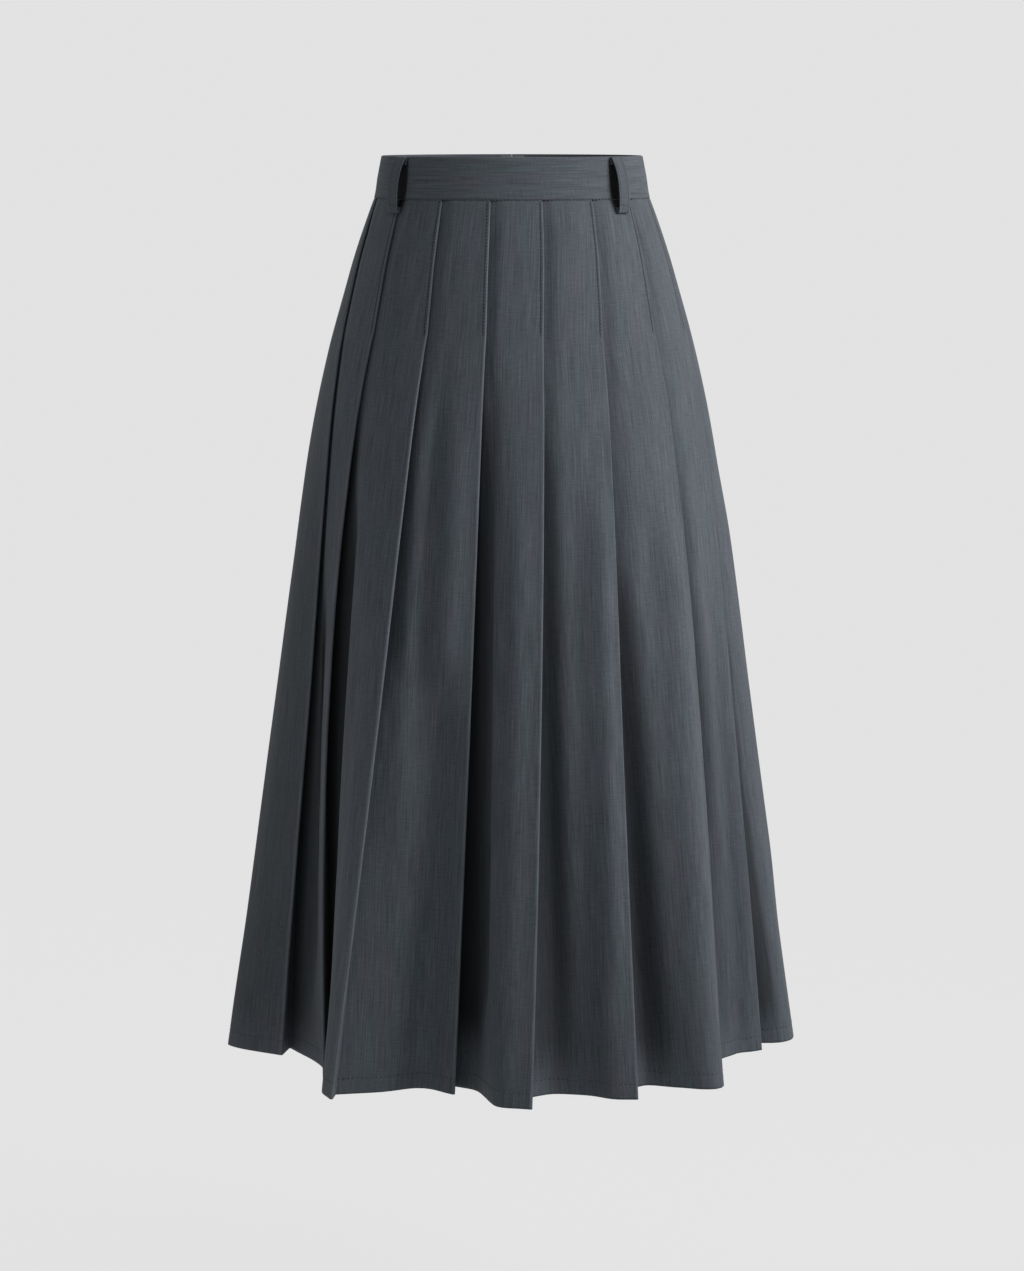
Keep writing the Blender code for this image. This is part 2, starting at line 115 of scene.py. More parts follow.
def mark(thing, label, values):
    attribute = thing.data.attributes.new(label, "FLOAT", "POINT")
    attribute.data.foreach_set("value", values.astype(np.float32).ravel())


def stand_for(piece, node):
    """The piece moves with the skirt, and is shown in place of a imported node."""
    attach(piece, "skirt")
    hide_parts(node)


# %% [markdown]
# A finish is a network of small nodes, and adding each one by hand takes three or four lines. This class wraps
# a node tree with short ways to add the few kinds needed here, so that a finish reads like a sum. A value that
# is the same all over goes straight onto the shader's own socket, from the list given with the material's name.

# %% Helpers for materials
class Nodes:
    def __init__(self, tree):
        self.tree = tree

    def put(self, value, socket):
        """Links an output to a socket, or sets a plain value on it."""
        if isinstance(value, bpy.types.NodeSocket):
            self.tree.links.new(value, socket)
        else:
            socket.default_value = value

    def add(self, kind, inputs=(), **settings):
        node = self.tree.nodes.new(kind)
        for label, value in settings.items():
            setattr(node, label, value)
        for label, value in dict(inputs).items():
            self.put(value, node.inputs[label])
        return node

    def math(self, operation, first, second=0.0):
        return self.add("ShaderNodeMath", {0: first, 1: second}, operation=operation).outputs["Value"]

    def scaled(self, place, per_metre):
        inputs = {0: place, 1: per_metre}
        return self.add("ShaderNodeVectorMath", inputs, operation="MULTIPLY").outputs["Vector"]

    def noise(self, place, per_metre, detail, roughness):
        """Noise whose lumps are 1 / per_metre long each way."""
        place = self.scaled(place, per_metre)
        inputs = {"Vector": place, "Scale": 1.0, "Detail": detail, "Roughness": roughness}
        return self.add("ShaderNodeTexNoise", inputs).outputs["Fac"]

    def mix(self, factor, first, second, blend="MIX"):
        """A colour between two colours, each of them plain or an output."""
        inputs = {"Factor": factor, "A": first, "B": second}
        return self.add("ShaderNodeMix", inputs, data_type="RGBA", blend_type=blend).outputs["Result"]

    def bump(self, height, strength, distance):
        inputs = {"Height": height, "Strength": strength, "Distance": distance}
        return self.add("ShaderNodeBump", inputs).outputs["Normal"]


def start_material(name, **plain):
    """A material, a helper for its nodes, and its shader's sockets with their plain values set."""
    material = bpy.data.materials.new(name)
    material.use_nodes = True
    sockets = material.node_tree.nodes["Principled BSDF"].inputs
    for label, value in plain.items():
        sockets[label.replace("_", " ")].default_value = value
    return material, Nodes(material.node_tree), sockets


# %% [markdown]
# The studio is one even, pale tone, so that no line shows behind the skirt and every side can be looked at. A
# wall would hide the skirt from behind, so there is only a very wide floor, and the world has the floor's tone.
# The floor glows faintly instead of reflecting, which keeps it even where the skirt would shade it.

# %% Floor
FLOOR_BELOW_HEM = 0.26
FLOOR_HALF_WIDTH = 150.0
PALE = (0.765, 0.765, 0.765, 1.0)
FLOOR_GLOW = 0.98

paper, _, _ = start_material(
    "pale_paper", Roughness=1.0, Base_Color=(0.02, 0.02, 0.02, 1.0), Specular_IOR_Level=0.0,
    Emission_Color=PALE, Emission_Strength=FLOOR_GLOW,
)
edges = [(x * FLOOR_HALF_WIDTH, y * FLOOR_HALF_WIDTH, HEM - FLOOR_BELOW_HEM)
         for x, y in ((-1, -1), (1, -1), (1, 1), (-1, 1))]
floor = add_mesh("floor", edges, [(0, 1, 2, 3)], paper, smooth=False)
print("floor below the hem, m:", FLOOR_BELOW_HEM)

# %% [markdown]
# The skirt is lit from the right and in front by one large soft box, so its right side is light and its left
# side falls away into shade, and each pleat's edge is picked out. The even world fills the shaded folds, as
# white walls do. An area light gives soft edges, as a real soft box does.

# %% Lights
KEY_PLACE = Vector((1.90, -0.72, 0.75))
KEY_AIM = Vector((0.0, 0.0, -0.26))
KEY_SIZE = 0.9
KEY_POWER = 24.4
KEY_SPREAD = math.radians(90.0)

light = bpy.data.lights.new("key_softbox", "AREA")
light.size, light.energy, light.spread = KEY_SIZE, KEY_POWER, KEY_SPREAD
stand = bpy.data.objects.new("key_softbox", light)
stand.location = KEY_PLACE
stand.visible_camera = False
stand.rotation_euler = (KEY_AIM - KEY_PLACE).to_track_quat("-Z", "Y").to_euler()
bpy.context.scene.collection.objects.link(stand)

world = bpy.data.worlds.new("studio")
world.use_nodes = True
air = world.node_tree.nodes["Background"].inputs
air["Color"].default_value, air["Strength"].default_value = PALE, 1.0
bpy.context.scene.world = world
bpy.context.scene.view_settings.view_transform = "Standard"
print("soft box from the skirt, m:", round((KEY_AIM - KEY_PLACE).length, 2))

# %% [markdown]
# ## The cloth's finish
# Melange suiting is spun from dark and light fibres, so its colour runs in fine streaks along each yarn, with
# thicker slubs here and there, and a faint green or violet cast where the dye took differently. A plain colour
# would look like plastic. The streaks are noise stretched along the yarn: one noise for the warp, a weaker one
# for the weft, and a slow one for the shade. They are drawn in the flat cloth's own metres, which a UV map
# holds, so the grain stays straight on every fold. Several finishes use this, so it is one node group.

# %% Node group for melange yarn
STREAKS = {  # streaks per metre across the warp and along it, detail, roughness, strength
    "warp": ((900.0, 26.0, 1.0), 3.0, 0.62, 0.95),
    "slub": ((330.0, 14.0, 1.0), 2.0, 0.50, 0.24),
    "weft": ((95.0, 1000.0, 1.0), 2.0, 0.60, 0.45),
    "shade": ((18.0, 6.0, 1.0), 1.0, 0.50, 0.16),
}
CAST = ((90.0, 11.0, 1.0), 2.0, 0.5)
CAST_STRENGTH = 1.7
GREENISH, VIOLETISH = (0.90, 1.04, 1.02, 1.0), (1.08, 0.97, 1.07, 1.0)
EVEN_TONE = 0.42
# The near black that the painted shade goes to, in the pleats' depths and behind the belt loops.
PAINTED_SHADE_COLOR = (0.002, 0.002, 0.0025, 1.0)
THREADS_PER_METRE = 1700.0
WEAVE_HEIGHT = 0.25


def new_group(name, inputs, outputs):
    group = bpy.data.node_groups.new(name, "ShaderNodeTree")
    for label, kind in inputs:
        group.interface.new_socket(name=label, in_out="INPUT", socket_type="NodeSocket" + kind)
    for label, kind in outputs:
        group.interface.new_socket(name=label, in_out="OUTPUT", socket_type="NodeSocket" + kind)
    return group, group.nodes.new("NodeGroupInput").outputs, group.nodes.new("NodeGroupOutput").inputs


def melange_group():
    """Colour and height of melange cloth. Cloth is the place on the flat cloth in metres, warp along Y."""
    group, given, made = new_group(
        "melange_yarn",
        [("Cloth", "Vector"), ("Dark Yarn", "Color"), ("Light Yarn", "Color"), ("Streaks", "Float"),
         ("Painted Edge Light", "Float"), ("Depth", "Float")],
        [("Color", "Color"), ("Height", "Float")],
    )
    work, cloth = Nodes(group), given["Cloth"]
    tone = EVEN_TONE
    for *grain, weight in STREAKS.values():
        centred = work.math("SUBTRACT", work.noise(cloth, *grain), 0.5)
        strong = work.math("MULTIPLY", centred, weight)
        tone = work.math("ADD", work.math("MULTIPLY", strong, given["Streaks"]), tone)
    # The tone is raised by the painted highlight on the fold edges and lowered along the stitch lines, partly for
    # the thread and partly as painted shade.
    yarn = work.mix(work.math("ADD", tone, given["Painted Edge Light"]), given["Dark Yarn"], given["Light Yarn"])
    cast = work.math("MULTIPLY", work.math("SUBTRACT", work.noise(cloth, *CAST), 0.5), CAST_STRENGTH)
    dyed = work.mix(1.0, yarn, work.mix(work.math("ADD", cast, 0.5), GREENISH, VIOLETISH), "MULTIPLY")
    # Painted shade: where that mark is set, the colour goes towards near black.
    work.put(work.mix(given["Depth"], dyed, PAINTED_SHADE_COLOR), made["Color"])
    turned_cloth = work.scaled(cloth, (2 * math.pi * THREADS_PER_METRE,) * 3)
    threads = work.add("ShaderNodeSeparateXYZ", {0: turned_cloth}).outputs
    ends, picks = (work.math("SINE", threads[axis]) for axis in "XY")
    weave = work.math("MULTIPLY", work.math("MULTIPLY", ends, picks), WEAVE_HEIGHT)
    work.put(work.math("ADD", weave, tone), made["Height"])
    return group


MELANGE = melange_group()
print("melange group:", len(MELANGE.nodes), "nodes")


# %% [markdown]
# The finish reads the UV map named cloth. The same yarn is used for the panels, the band and the loops, but
# the band is cut with its grain running round the waist, so its streaks lie level: its UV map is simply turned
# by a quarter. Sheen stands for the soft nap of worsted wool. It is a constant, so it is set on the shader.

# %% Suiting materials
DARK_YARN = (0.0162, 0.0184, 0.0220, 1.0)
LIGHT_YARN = (0.0747, 0.0837, 0.0918, 1.0)
# The marks are a painted highlight along the fold edges, a darker line beside the stitches that is partly the
# thread and partly painted shade in its groove, and painted shade in the pleats' depths and behind the loops.
MARKS = {"painted_edge_light": 0.25, "sewn": -0.75, "depth": 1.0}  # how strongly each mark counts
WEAVE_BUMP = (0.35, 0.0004)


def suiting(name, streaks=1.0):
    material, work, shader = start_material(
        name, Roughness=0.82, Specular_IOR_Level=0.12, Sheen_Weight=0.05, Sheen_Roughness=0.45,
        Sheen_Tint=(0.72, 0.78, 0.84, 1.0),
    )
    read = {}
    for label, strength in MARKS.items():
        found = work.add("ShaderNodeAttribute", attribute_name=label).outputs["Fac"]
        read[label] = work.math("MULTIPLY", found, strength)
    flat = work.add("ShaderNodeUVMap", uv_map="cloth").outputs["UV"]
    painted_edge_light = work.math("ADD", read["painted_edge_light"], read["sewn"])
    inputs = {"Cloth": flat, "Dark Yarn": DARK_YARN, "Light Yarn": LIGHT_YARN, "Streaks": streaks,
              "Painted Edge Light": painted_edge_light, "Depth": read["depth"]}
    made = work.add("ShaderNodeGroup", inputs, node_tree=MELANGE).outputs
    work.put(made["Color"], shader["Base Color"])
    work.put(work.bump(made["Height"], *WEAVE_BUMP), shader["Normal"])
    return material


panel_cloth = suiting("slate_suiting")
band_cloth = suiting("slate_suiting_band")
loop_cloth = suiting("slate_suiting_loops", 0.8)
print("suitings:", [cloth.name for cloth in (panel_cloth, band_cloth, loop_cloth)])


# %% [markdown]
# ## The form
# The skirt's outside is nearly an ellipse at every height. A short table holds its half width and how far it
# reaches to the front and the back, and a smooth curve runs through the rows. A drop is a distance below the
# band's top edge. A bearing goes round in degrees from the centre front, past the side at +X.

# %% Outline
LENGTH = WAIST_TOP - HEM
BAND_HEIGHT = 0.036
STITCHED_TO = 0.1485
Outline = namedtuple("Outline", "drop half_width front back")
OUTLINE = [Outline(*row) for row in (
    (0.000, 0.1130, 0.0842, 0.0857),
    (0.018, 0.1165, 0.0868, 0.0878),
    (0.036, 0.1196, 0.0894, 0.0904),
    (0.046, 0.1233, 0.0921, 0.0936),
    (0.082, 0.1357, 0.1010, 0.1045),
    (0.117, 0.1460, 0.1087, 0.1137),
    (0.152, 0.1559, 0.1149, 0.1225),
    (0.212, 0.1702, 0.1262, 0.1352),
    (0.301, 0.1859, 0.1408, 0.1498),
    (0.478, 0.2113, 0.1673, 0.1754),
    (0.660, 0.2364, 0.1902, 0.1974),
    (LENGTH, 0.2546, 0.2058, 0.2140),
)]
OUTLINE_DROPS = np.array([row.drop for row in OUTLINE])
OUTLINE_SIZES = np.array([row[1:] for row in OUTLINE])
OUTLINE_SLOPES = np.gradient(OUTLINE_SIZES, OUTLINE_DROPS, axis=0)


def height(drop):
    return WAIST_TOP - drop


def mix(a, b, share):
    return a + (b - a) * share


def unit(vector):
    return vector / np.linalg.norm(vector)

def unit_rows(vectors):
    return vectors / np.linalg.norm(vectors, axis=-1, keepdims=True)


def walked_along(points):
    """How far along its line each point is."""
    steps = np.linalg.norm(np.diff(points, axis=-2), axis=-1)
    return np.concatenate([np.zeros((*steps.shape[:-1], 1)), np.cumsum(steps, axis=-1)], axis=-1)


def curve_at(start, end, leaving, arriving, length, t):
    """The place a share t of the way along a smooth curve that leaves and arrives at these slopes."""
    first = start * (1 + 2 * t) + leaving * length * t
    last = end * (3 - 2 * t) + arriving * length * (t - 1)
    return first * (1 - t) ** 2 + last * t**2


def outline_at(drop):
    i = int(np.clip(np.searchsorted(OUTLINE_DROPS, drop) - 1, 0, len(OUTLINE) - 2))
    step = OUTLINE_DROPS[i + 1] - OUTLINE_DROPS[i]
    t = (drop - OUTLINE_DROPS[i]) / step
    return Outline(drop, *curve_at(*OUTLINE_SIZES[i : i + 2], *OUTLINE_SLOPES[i : i + 2], step, t))


def on_outline(outline, bearing, reach=1.0, inward=0.0):
    """A point in plan at a bearing, at a share of the outline, moved inward along its normal."""
    angle = math.radians(bearing)
    depth = outline.front if math.cos(angle) > 0 else outline.back
    point = np.array([outline.half_width * math.sin(angle), -depth * math.cos(angle)]) * reach
    return point - inward * unit(np.array([math.sin(angle) / outline.half_width, -math.cos(angle) / depth]))


def degrees_of(outline, bearing, length):
    """How many degrees of bearing a length takes up along the outline."""
    angle = math.radians(bearing)
    depth = outline.front if math.cos(angle) > 0 else outline.back
    return math.degrees(length / math.hypot(outline.half_width * math.cos(angle), depth * math.sin(angle)))


print("half width at the hem, mm:", round(1000 * outline_at(LENGTH).half_width))

# %% [markdown]
# A knife pleat is a fold laid over its neighbour: the cloth runs across the face to the fold, turns back under
# it as the return, and turns again at an inner crease to become the next face. Where it is stitched down, the
# three layers lie flat on each other. Where it hangs free, the return swings inward and the crease sinks away
# from the outline. One row for each pleat says where its fold and its crease are at the band, at the release
# and at the hem, and how much its face stands out, and everything between is worked out.

# %% Pleat table
WALL = 0.0011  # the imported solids' cloth, whose middle line is followed here
LAYER = 0.0015  # from one folded layer to the next
LAYER_AT_BAND = 0.0008  # the band's seam squeezes the layers together
SQUEEZED_OVER = 0.030
RETURN_AT_BAND = 0.019
RETURN_AT_RELEASE = 0.025
FOLD_AT_HEM = 0.0024
PAST_FOLD = 0.002
FREE_WIDTHS = (0.4, 0.7, 1.0)
OPENS_EARLY = 0.85  # less than 1, so the pleats open faster just below the release
Pleat = namedtuple("Pleat", "band release hem reach crease sink near far bow")
PLEATS = [Pleat(*row) for row in (
    (-80.2, -71.2, -73.9, 0.850, -80.6, 0.800, 0.044, 0.033, 9.0),
    (-53.5, -50.2, -47.4, 0.880, -53.4, 0.764, -0.006, -0.009, -3.6),
    (-30.1, -28.0, -33.7, 1.103, -34.8, 1.045, -0.002, 0.009, 1.2),
    (-9.1, -8.5, -13.2, 0.876, -15.9, 0.760, -0.006, -0.008, 0.7),
    (12.1, 9.5, 3.0, 1.075, 3.2, 0.909, -0.003, 0.011, 0.0),
    (34.4, 29.4, 23.7, 1.014, 27.4, 0.862, -0.013, -0.003, -1.2),
    (56.8, 51.6, 48.4, 0.934, 56.5, 0.831, 0.004, 0.026, 0.9),
    (79.0, 75.6, 79.8, 0.875, 86.5, 0.835, -0.013, -0.009, -4.2),
    (101.0, 100.0, 102.2, 1.004, 101.0, 0.880, 0.022, 0.017, 2.0),
    (122.5, 121.5, 124.0, 0.900, 125.5, 0.780, -0.006, 0.004, -2.0),
    (143.5, 143.0, 142.0, 1.060, 140.5, 0.930, 0.004, 0.012, 1.5),
    (163.5, 163.5, 166.0, 0.930, 163.0, 0.800, 0.008, 0.004, 0.0),
    (183.5, 184.0, 186.0, 1.050, 184.5, 0.905, -0.006, 0.008, 1.0),
    (205.0, 206.0, 207.5, 0.985, 205.0, 0.850, 0.010, 0.014, 0.0),
    (228.0, 231.0, 231.5, 1.045, 231.0, 0.905, -0.008, 0.006, -2.0),
    (253.5, 258.5, 258.5, 0.930, 261.5, 0.860, 0.012, 0.016, 0.0),
)]


def openness(drop):
    """0 where the pleats are stitched down, growing to 1 at the hem."""
    return max(0.0, (drop - STITCHED_TO) / (LENGTH - STITCHED_TO)) ** OPENS_EARLY


def turned(k):
    """Pleat k of the ring, with whole turns added beyond either end of the table."""
    whole, row = divmod(k, len(PLEATS))
    pleat = PLEATS[row]
    return pleat._replace(
        **{label: getattr(pleat, label) + 360.0 * whole for label in ("band", "release", "hem", "crease")}
    )


def fold_bearing(pleat, drop):
    if drop <= STITCHED_TO:
        return mix(pleat.band, pleat.release, (drop - BAND_HEIGHT) / (STITCHED_TO - BAND_HEIGHT))
    free = openness(drop)
    return mix(pleat.release, pleat.hem, free) + pleat.bow * math.sin(math.pi * free)


def folded_back(drop):
    share = min(1.0, (drop - BAND_HEIGHT) / (STITCHED_TO - BAND_HEIGHT))
    return mix(RETURN_AT_BAND, RETURN_AT_RELEASE, share)


print("pleats:", len(PLEATS))


# %% [markdown]
# At each height, a pleat's line in plan is steered by nine points: where its face starts at the crease of the
# pleat before it, five across the face, two at the fold, and one at its own crease. Flat and hung places are
# worked out apart, and each step from point to point swings from one to the other, so the cloth keeps its
# length while the pleat opens. Mixing the points themselves would make the cloth shrink half way.

# %% Nine points for each pleat
THIRDS = 13.5  # makes near and far the bulges at one third and two thirds of a face


def closed_turns(outline, drop, pleat):
    bearing = fold_bearing(pleat, drop)
    apart = mix(LAYER_AT_BAND, LAYER, min(1.0, max(0.0, (drop - BAND_HEIGHT) / SQUEEZED_OVER)))
    under = bearing - degrees_of(outline, bearing, folded_back(drop))
    places = ((bearing, 0), (bearing, 1), (under, 1), (under, 2))
    return [on_outline(outline, b, 1.0, WALL / 2 + layer * apart) for b, layer in places]


def open_turns(outline, drop, k):
    pleat, last, following = turned(k), turned(k - 1), turned(k + 1)
    shift, last_shift = (fold_bearing(p, drop) - p.hem for p in (pleat, last))
    before = on_outline(outline, last.crease + last_shift, last.sink)
    after = on_outline(outline, fold_bearing(following, drop), following.reach)
    fold = on_outline(outline, pleat.hem + shift, pleat.reach)
    crease = on_outline(outline, pleat.crease + shift, pleat.sink)
    outward = unit(unit(fold - before) - unit(crease - fold))
    inward = unit(unit(crease - fold) - unit(after - crease))
    fold_turn = np.array([-outward[1], outward[0]]) * FOLD_AT_HEM
    crease_turn = np.array([inward[1], -inward[0]]) * FOLD_AT_HEM
    return [fold, fold + fold_turn, crease, crease + crease_turn]


def swing(start, end, share):
    """A vector turned and stretched part of the way from start to end."""
    turn = math.atan2(start[0] * end[1] - start[1] * end[0], np.dot(start, end)) * share
    length = mix(np.linalg.norm(start), np.linalg.norm(end), share) / np.linalg.norm(start)
    cos, sin = math.cos(turn), math.sin(turn)
    return np.array([cos * start[0] - sin * start[1], sin * start[0] + cos * start[1]]) * length


def turns(outline, drop, k):
    """The fold, its other side, the crease and its other side."""
    flat, hung = closed_turns(outline, drop, turned(k)), open_turns(outline, drop, k)
    free = openness(drop)
    points = [mix(flat[0], hung[0], free)]
    for i in (1, 2, 3):
        points.append(points[-1] + swing(flat[i] - flat[i - 1], hung[i] - hung[i - 1], free))
    return points


def across_face(outline, drop, k, before, fold):
    """Five points of face k, from under the fold of the pleat before it to where its own lap starts."""
    pleat, last = turned(k), turned(k - 1)
    free = openness(drop)
    end, above = fold_bearing(pleat, drop), fold_bearing(last, drop)
    start = above - degrees_of(outline, above, folded_back(drop))
    past = above + degrees_of(outline, above, PAST_FOLD)
    lap = end - degrees_of(outline, end, folded_back(drop))
    _, fold_end, crease, crease_end = before
    chord = fold - crease_end
    out = unit(np.array([chord[1], -chord[0]]))
    beneath = unit(mix(unit(fold_end - crease), unit(chord), free))
    covered = np.linalg.norm(fold_end - crease)
    flat = {above: crease_end + beneath * covered, past: crease_end + beneath * (covered + PAST_FOLD)}
    for share in FREE_WIDTHS:
        bearing = mix(past, lap, share)
        reach = mix(1.0, mix(last.reach, pleat.reach, (bearing - above) / (end - above)), free)
        flat[bearing] = on_outline(outline, bearing, reach, WALL / 2)
    points = []
    for bearing, place in flat.items():
        s = (bearing - start) / (end - start)
        bulge = THIRDS * s * (1 - s) * ((2 / 3 - s) * pleat.near + (s - 1 / 3) * pleat.far)
        points.append(mix(place, crease_end + s * chord + out * bulge * math.sqrt(free), free))
    return points


def ring(drop):
    """The nine points of every pleat at a drop, with the widest ones drawn to the outline's width."""
    outline = outline_at(drop)
    ends = [turns(outline, drop, k) for k in range(len(PLEATS))]
    points = []
    for k, (fold, fold_end, crease, _) in enumerate(ends):
        face = across_face(outline, drop, k, ends[k - 1], fold)
        points.append([ends[k - 1][3], *face, fold, fold_end, crease])
    points = np.array(points)
    room = outline.half_width - WALL / 2
    xs = points[..., 0]
    points[..., 0] *= np.where(xs > 0, room / xs.max(), room / -xs.min())
    return points


# %% [markdown]
# Nine points are too few for cloth. Each face gets a smooth curve through its points, with extra columns just
# before the fold, where a row of edge stitching bites in. The fold and the crease are round turns, drawn as
# Bezier arcs whose handles come from the angle of the turn, so a flat fold and an open one are both round.
# The rows are closest where most happens: under the band, at the release and at the hem. The first row lies
# a little way up inside the band, as a sewn edge does.

# %% A dense net of points, rows down and columns round
ROW_STEPS = [  # to this drop, in steps of this size
    (0.0352, 0.0352),
    (0.0420, 0.0010),
    (0.1390, 0.0060),
    (0.1960, 0.0030),
    (0.7600, 0.0065),
    (LENGTH, 0.0022),
]
drops = [ROW_STEPS[0][0]]
for until, step in ROW_STEPS[1:]:
    count = max(1, round((until - drops[-1]) / step))
    drops += list(np.linspace(drops[-1], until, count + 1)[1:])
drops = np.array(drops)

controls = np.array([ring(drop) for drop in drops])  # rows, pleats, nine points, x and y
next_start = np.roll(controls[:, :, 0], -1, axis=1)
SEGMENT_SHARES = [(0, 0.4, 0.75), (0,), (0, 0.22, 0.45, 0.7), (0, 0.33, 0.67), (0, 0.33, 0.67)]
LAP_SHARES = (0.0, 0.2, 0.4, 0.58, 0.72)
BEFORE_FOLD = (0.0042, 0.0028, 0.0019, 0.0013, 0.0007, 0.0)  # metres
SHORT_FACE = 0.22  # the columns before the fold take up no more than this share of the last stretch


def face_columns(knots):
    """A smooth curve through the first seven points of each pleat, and the way it leaves both ends."""
    steps = knots[:, :, 1:] - knots[:, :, :-1]
    lengths = np.linalg.norm(steps, axis=-1, keepdims=True)
    rates = steps / lengths
    inner = rates[:, :, :-1] * lengths[:, :, 1:] + rates[:, :, 1:] * lengths[:, :, :-1]
    inner /= lengths[:, :, 1:] + lengths[:, :, :-1]
    slopes = np.concatenate([rates[:, :, :1], inner, rates[:, :, -1:]], axis=2)
    columns = []
    last = lengths.shape[2] - 1
    for i in range(last + 1):
        length = lengths[:, :, i]
        if i < last:
            shares = list(SEGMENT_SHARES[i])
        else:
            shrink = np.minimum(1.0, SHORT_FACE * length / BEFORE_FOLD[0])
            shares = [*LAP_SHARES, *(1.0 - distance * shrink / length for distance in BEFORE_FOLD)]
        ends = (knots[:, :, i], knots[:, :, i + 1], slopes[:, :, i], slopes[:, :, i + 1])
        columns += [curve_at(*ends, length, share) for share in shares]
    return np.stack(columns, axis=2), rates[:, :, 0], rates[:, :, -1]


def round_turn(start, end, leaving, arriving, shares):
    """Points of an arc from start to end that leaves and arrives along the given directions."""
    chord = np.linalg.norm(end - start, axis=-1, keepdims=True)
    angle = np.arccos(np.clip((leaving * arriving).sum(-1, keepdims=True), -1.0, 0.999))
    handle = 4 / 3 * np.tan(angle / 4) * chord / (2 * np.sin(angle / 2))
    a, b = start + leaving * handle, end - arriving * handle
    return [
        start * (1 - t) ** 3 + 3 * a * t * (1 - t) ** 2 + 3 * b * t**2 * (1 - t) + end * t**3 for t in shares
    ]


faces, leave_start, reach_fold = face_columns(controls[:, :, :7])
fold, fold_end, crease = controls[:, :, 6], controls[:, :, 7], controls[:, :, 8]
way_back = unit_rows(crease - fold_end)
fold_arc = round_turn(fold, fold_end, reach_fold, way_back, (1 / 6, 1 / 3, 1 / 2, 2 / 3, 5 / 6))
back = [mix(fold_end, crease, share) for share in (0.0, 0.25, 0.5, 0.75, 1.0)]
crease_arc = round_turn(crease, next_start, way_back, np.roll(leave_start, -1, axis=1), (0.2, 0.4, 0.6, 0.8))
FACE_COUNT = faces.shape[2]
PAST_COLUMN = 4  # the first column of a face that is out from under the fold before it
HALF_BACK = FACE_COUNT + len(fold_arc) + 2  # the column half way along a return, where a seam may lie
net = np.concatenate([faces, np.stack(fold_arc + back + crease_arc, axis=2)], axis=2)
UNIT = net.shape[2]
print("rows", len(drops), "columns a pleat", UNIT, "half back", HALF_BACK)

# %% [markdown]
# Real cloth is never as even as a formula. Below the release, each face carries one to three long, soft
# creases that start at a different height, lean a little, and fade out. They are listed in a table:
# which face, how far across it, from which drop to which, how wide, and how high in metres, where a trough is
# negative. A Gaussian across and an ease in and out along make them soft.

# %% Soft creases
Crease = namedtuple("Crease", "pleat across lean top bottom width height")
CREASES = [Crease(*row) for row in (
    (0, 0.30, 0.05, 0.26, 0.76, 0.14, -0.0020),
    (1, 0.22, 0.00, 0.34, 0.76, 0.16, -0.0065),
    (2, 0.09, 0.05, 0.26, 0.75, 0.12, -0.0110),
    (2, 0.58, -0.05, 0.36, 0.79, 0.14, -0.0018),
    (3, 0.30, -0.04, 0.16, 0.58, 0.15, -0.0055),
    (3, 0.66, 0.06, 0.20, 0.60, 0.18, 0.0035),
    (3, 0.62, 0.00, 0.40, 0.79, 0.29, -0.0125),
    (4, 0.09, 0.04, 0.17, 0.76, 0.12, -0.0115),
    (4, 0.66, 0.00, 0.24, 0.79, 0.16, 0.0020),
    (5, 0.42, 0.04, 0.24, 0.79, 0.20, -0.0028),
    (5, 0.84, 0.00, 0.24, 0.72, 0.12, 0.0040),
    (6, 0.40, 0.02, 0.26, 0.79, 0.16, -0.0030),
    (6, 0.78, 0.00, 0.26, 0.79, 0.15, 0.0045),
    (7, 0.30, 0.04, 0.22, 0.64, 0.16, 0.0030),
    (7, 0.70, -0.04, 0.36, 0.79, 0.16, -0.0036),
    (8, 0.45, 0.04, 0.24, 0.70, 0.15, 0.0026),
    (9, 0.35, -0.03, 0.22, 0.58, 0.13, -0.0022),
    (9, 0.66, 0.05, 0.38, 0.79, 0.14, 0.0024),
    (10, 0.42, 0.05, 0.26, 0.79, 0.15, 0.0026),
    (11, 0.30, 0.03, 0.20, 0.54, 0.12, 0.0018),
    (11, 0.64, -0.05, 0.34, 0.79, 0.14, -0.0026),
    (12, 0.48, 0.04, 0.28, 0.74, 0.16, 0.0028),
    (13, 0.34, -0.04, 0.22, 0.62, 0.13, -0.0024),
    (13, 0.70, 0.03, 0.42, 0.79, 0.12, 0.0020),
    (14, 0.44, 0.06, 0.24, 0.79, 0.15, 0.0026),
    (15, 0.36, 0.00, 0.30, 0.66, 0.14, -0.0022),
    (15, 0.68, 0.04, 0.20, 0.79, 0.13, 0.0022),
)]
CREASE_FADE = 0.10
TO_THE_HEM = 0.78  # a crease that goes lower than this runs out at the hem


def ease(x):
    x = np.clip(x, 0.0, 1.0)
    return x * x * (3 - 2 * x)


def sideways(paths):
    """Outward unit normals in plan along paths of points."""
    ahead = unit_rows(np.diff(paths, axis=-2))
    inner = ahead[..., :-1, :] + ahead[..., 1:, :]
    along = unit_rows(np.concatenate([ahead[..., :1, :], inner, ahead[..., -1:, :]], axis=-2))
    return np.stack([along[..., 1], -along[..., 0]], axis=-1)


def hump(distance, width):
    return np.exp(-((distance / width) ** 2))


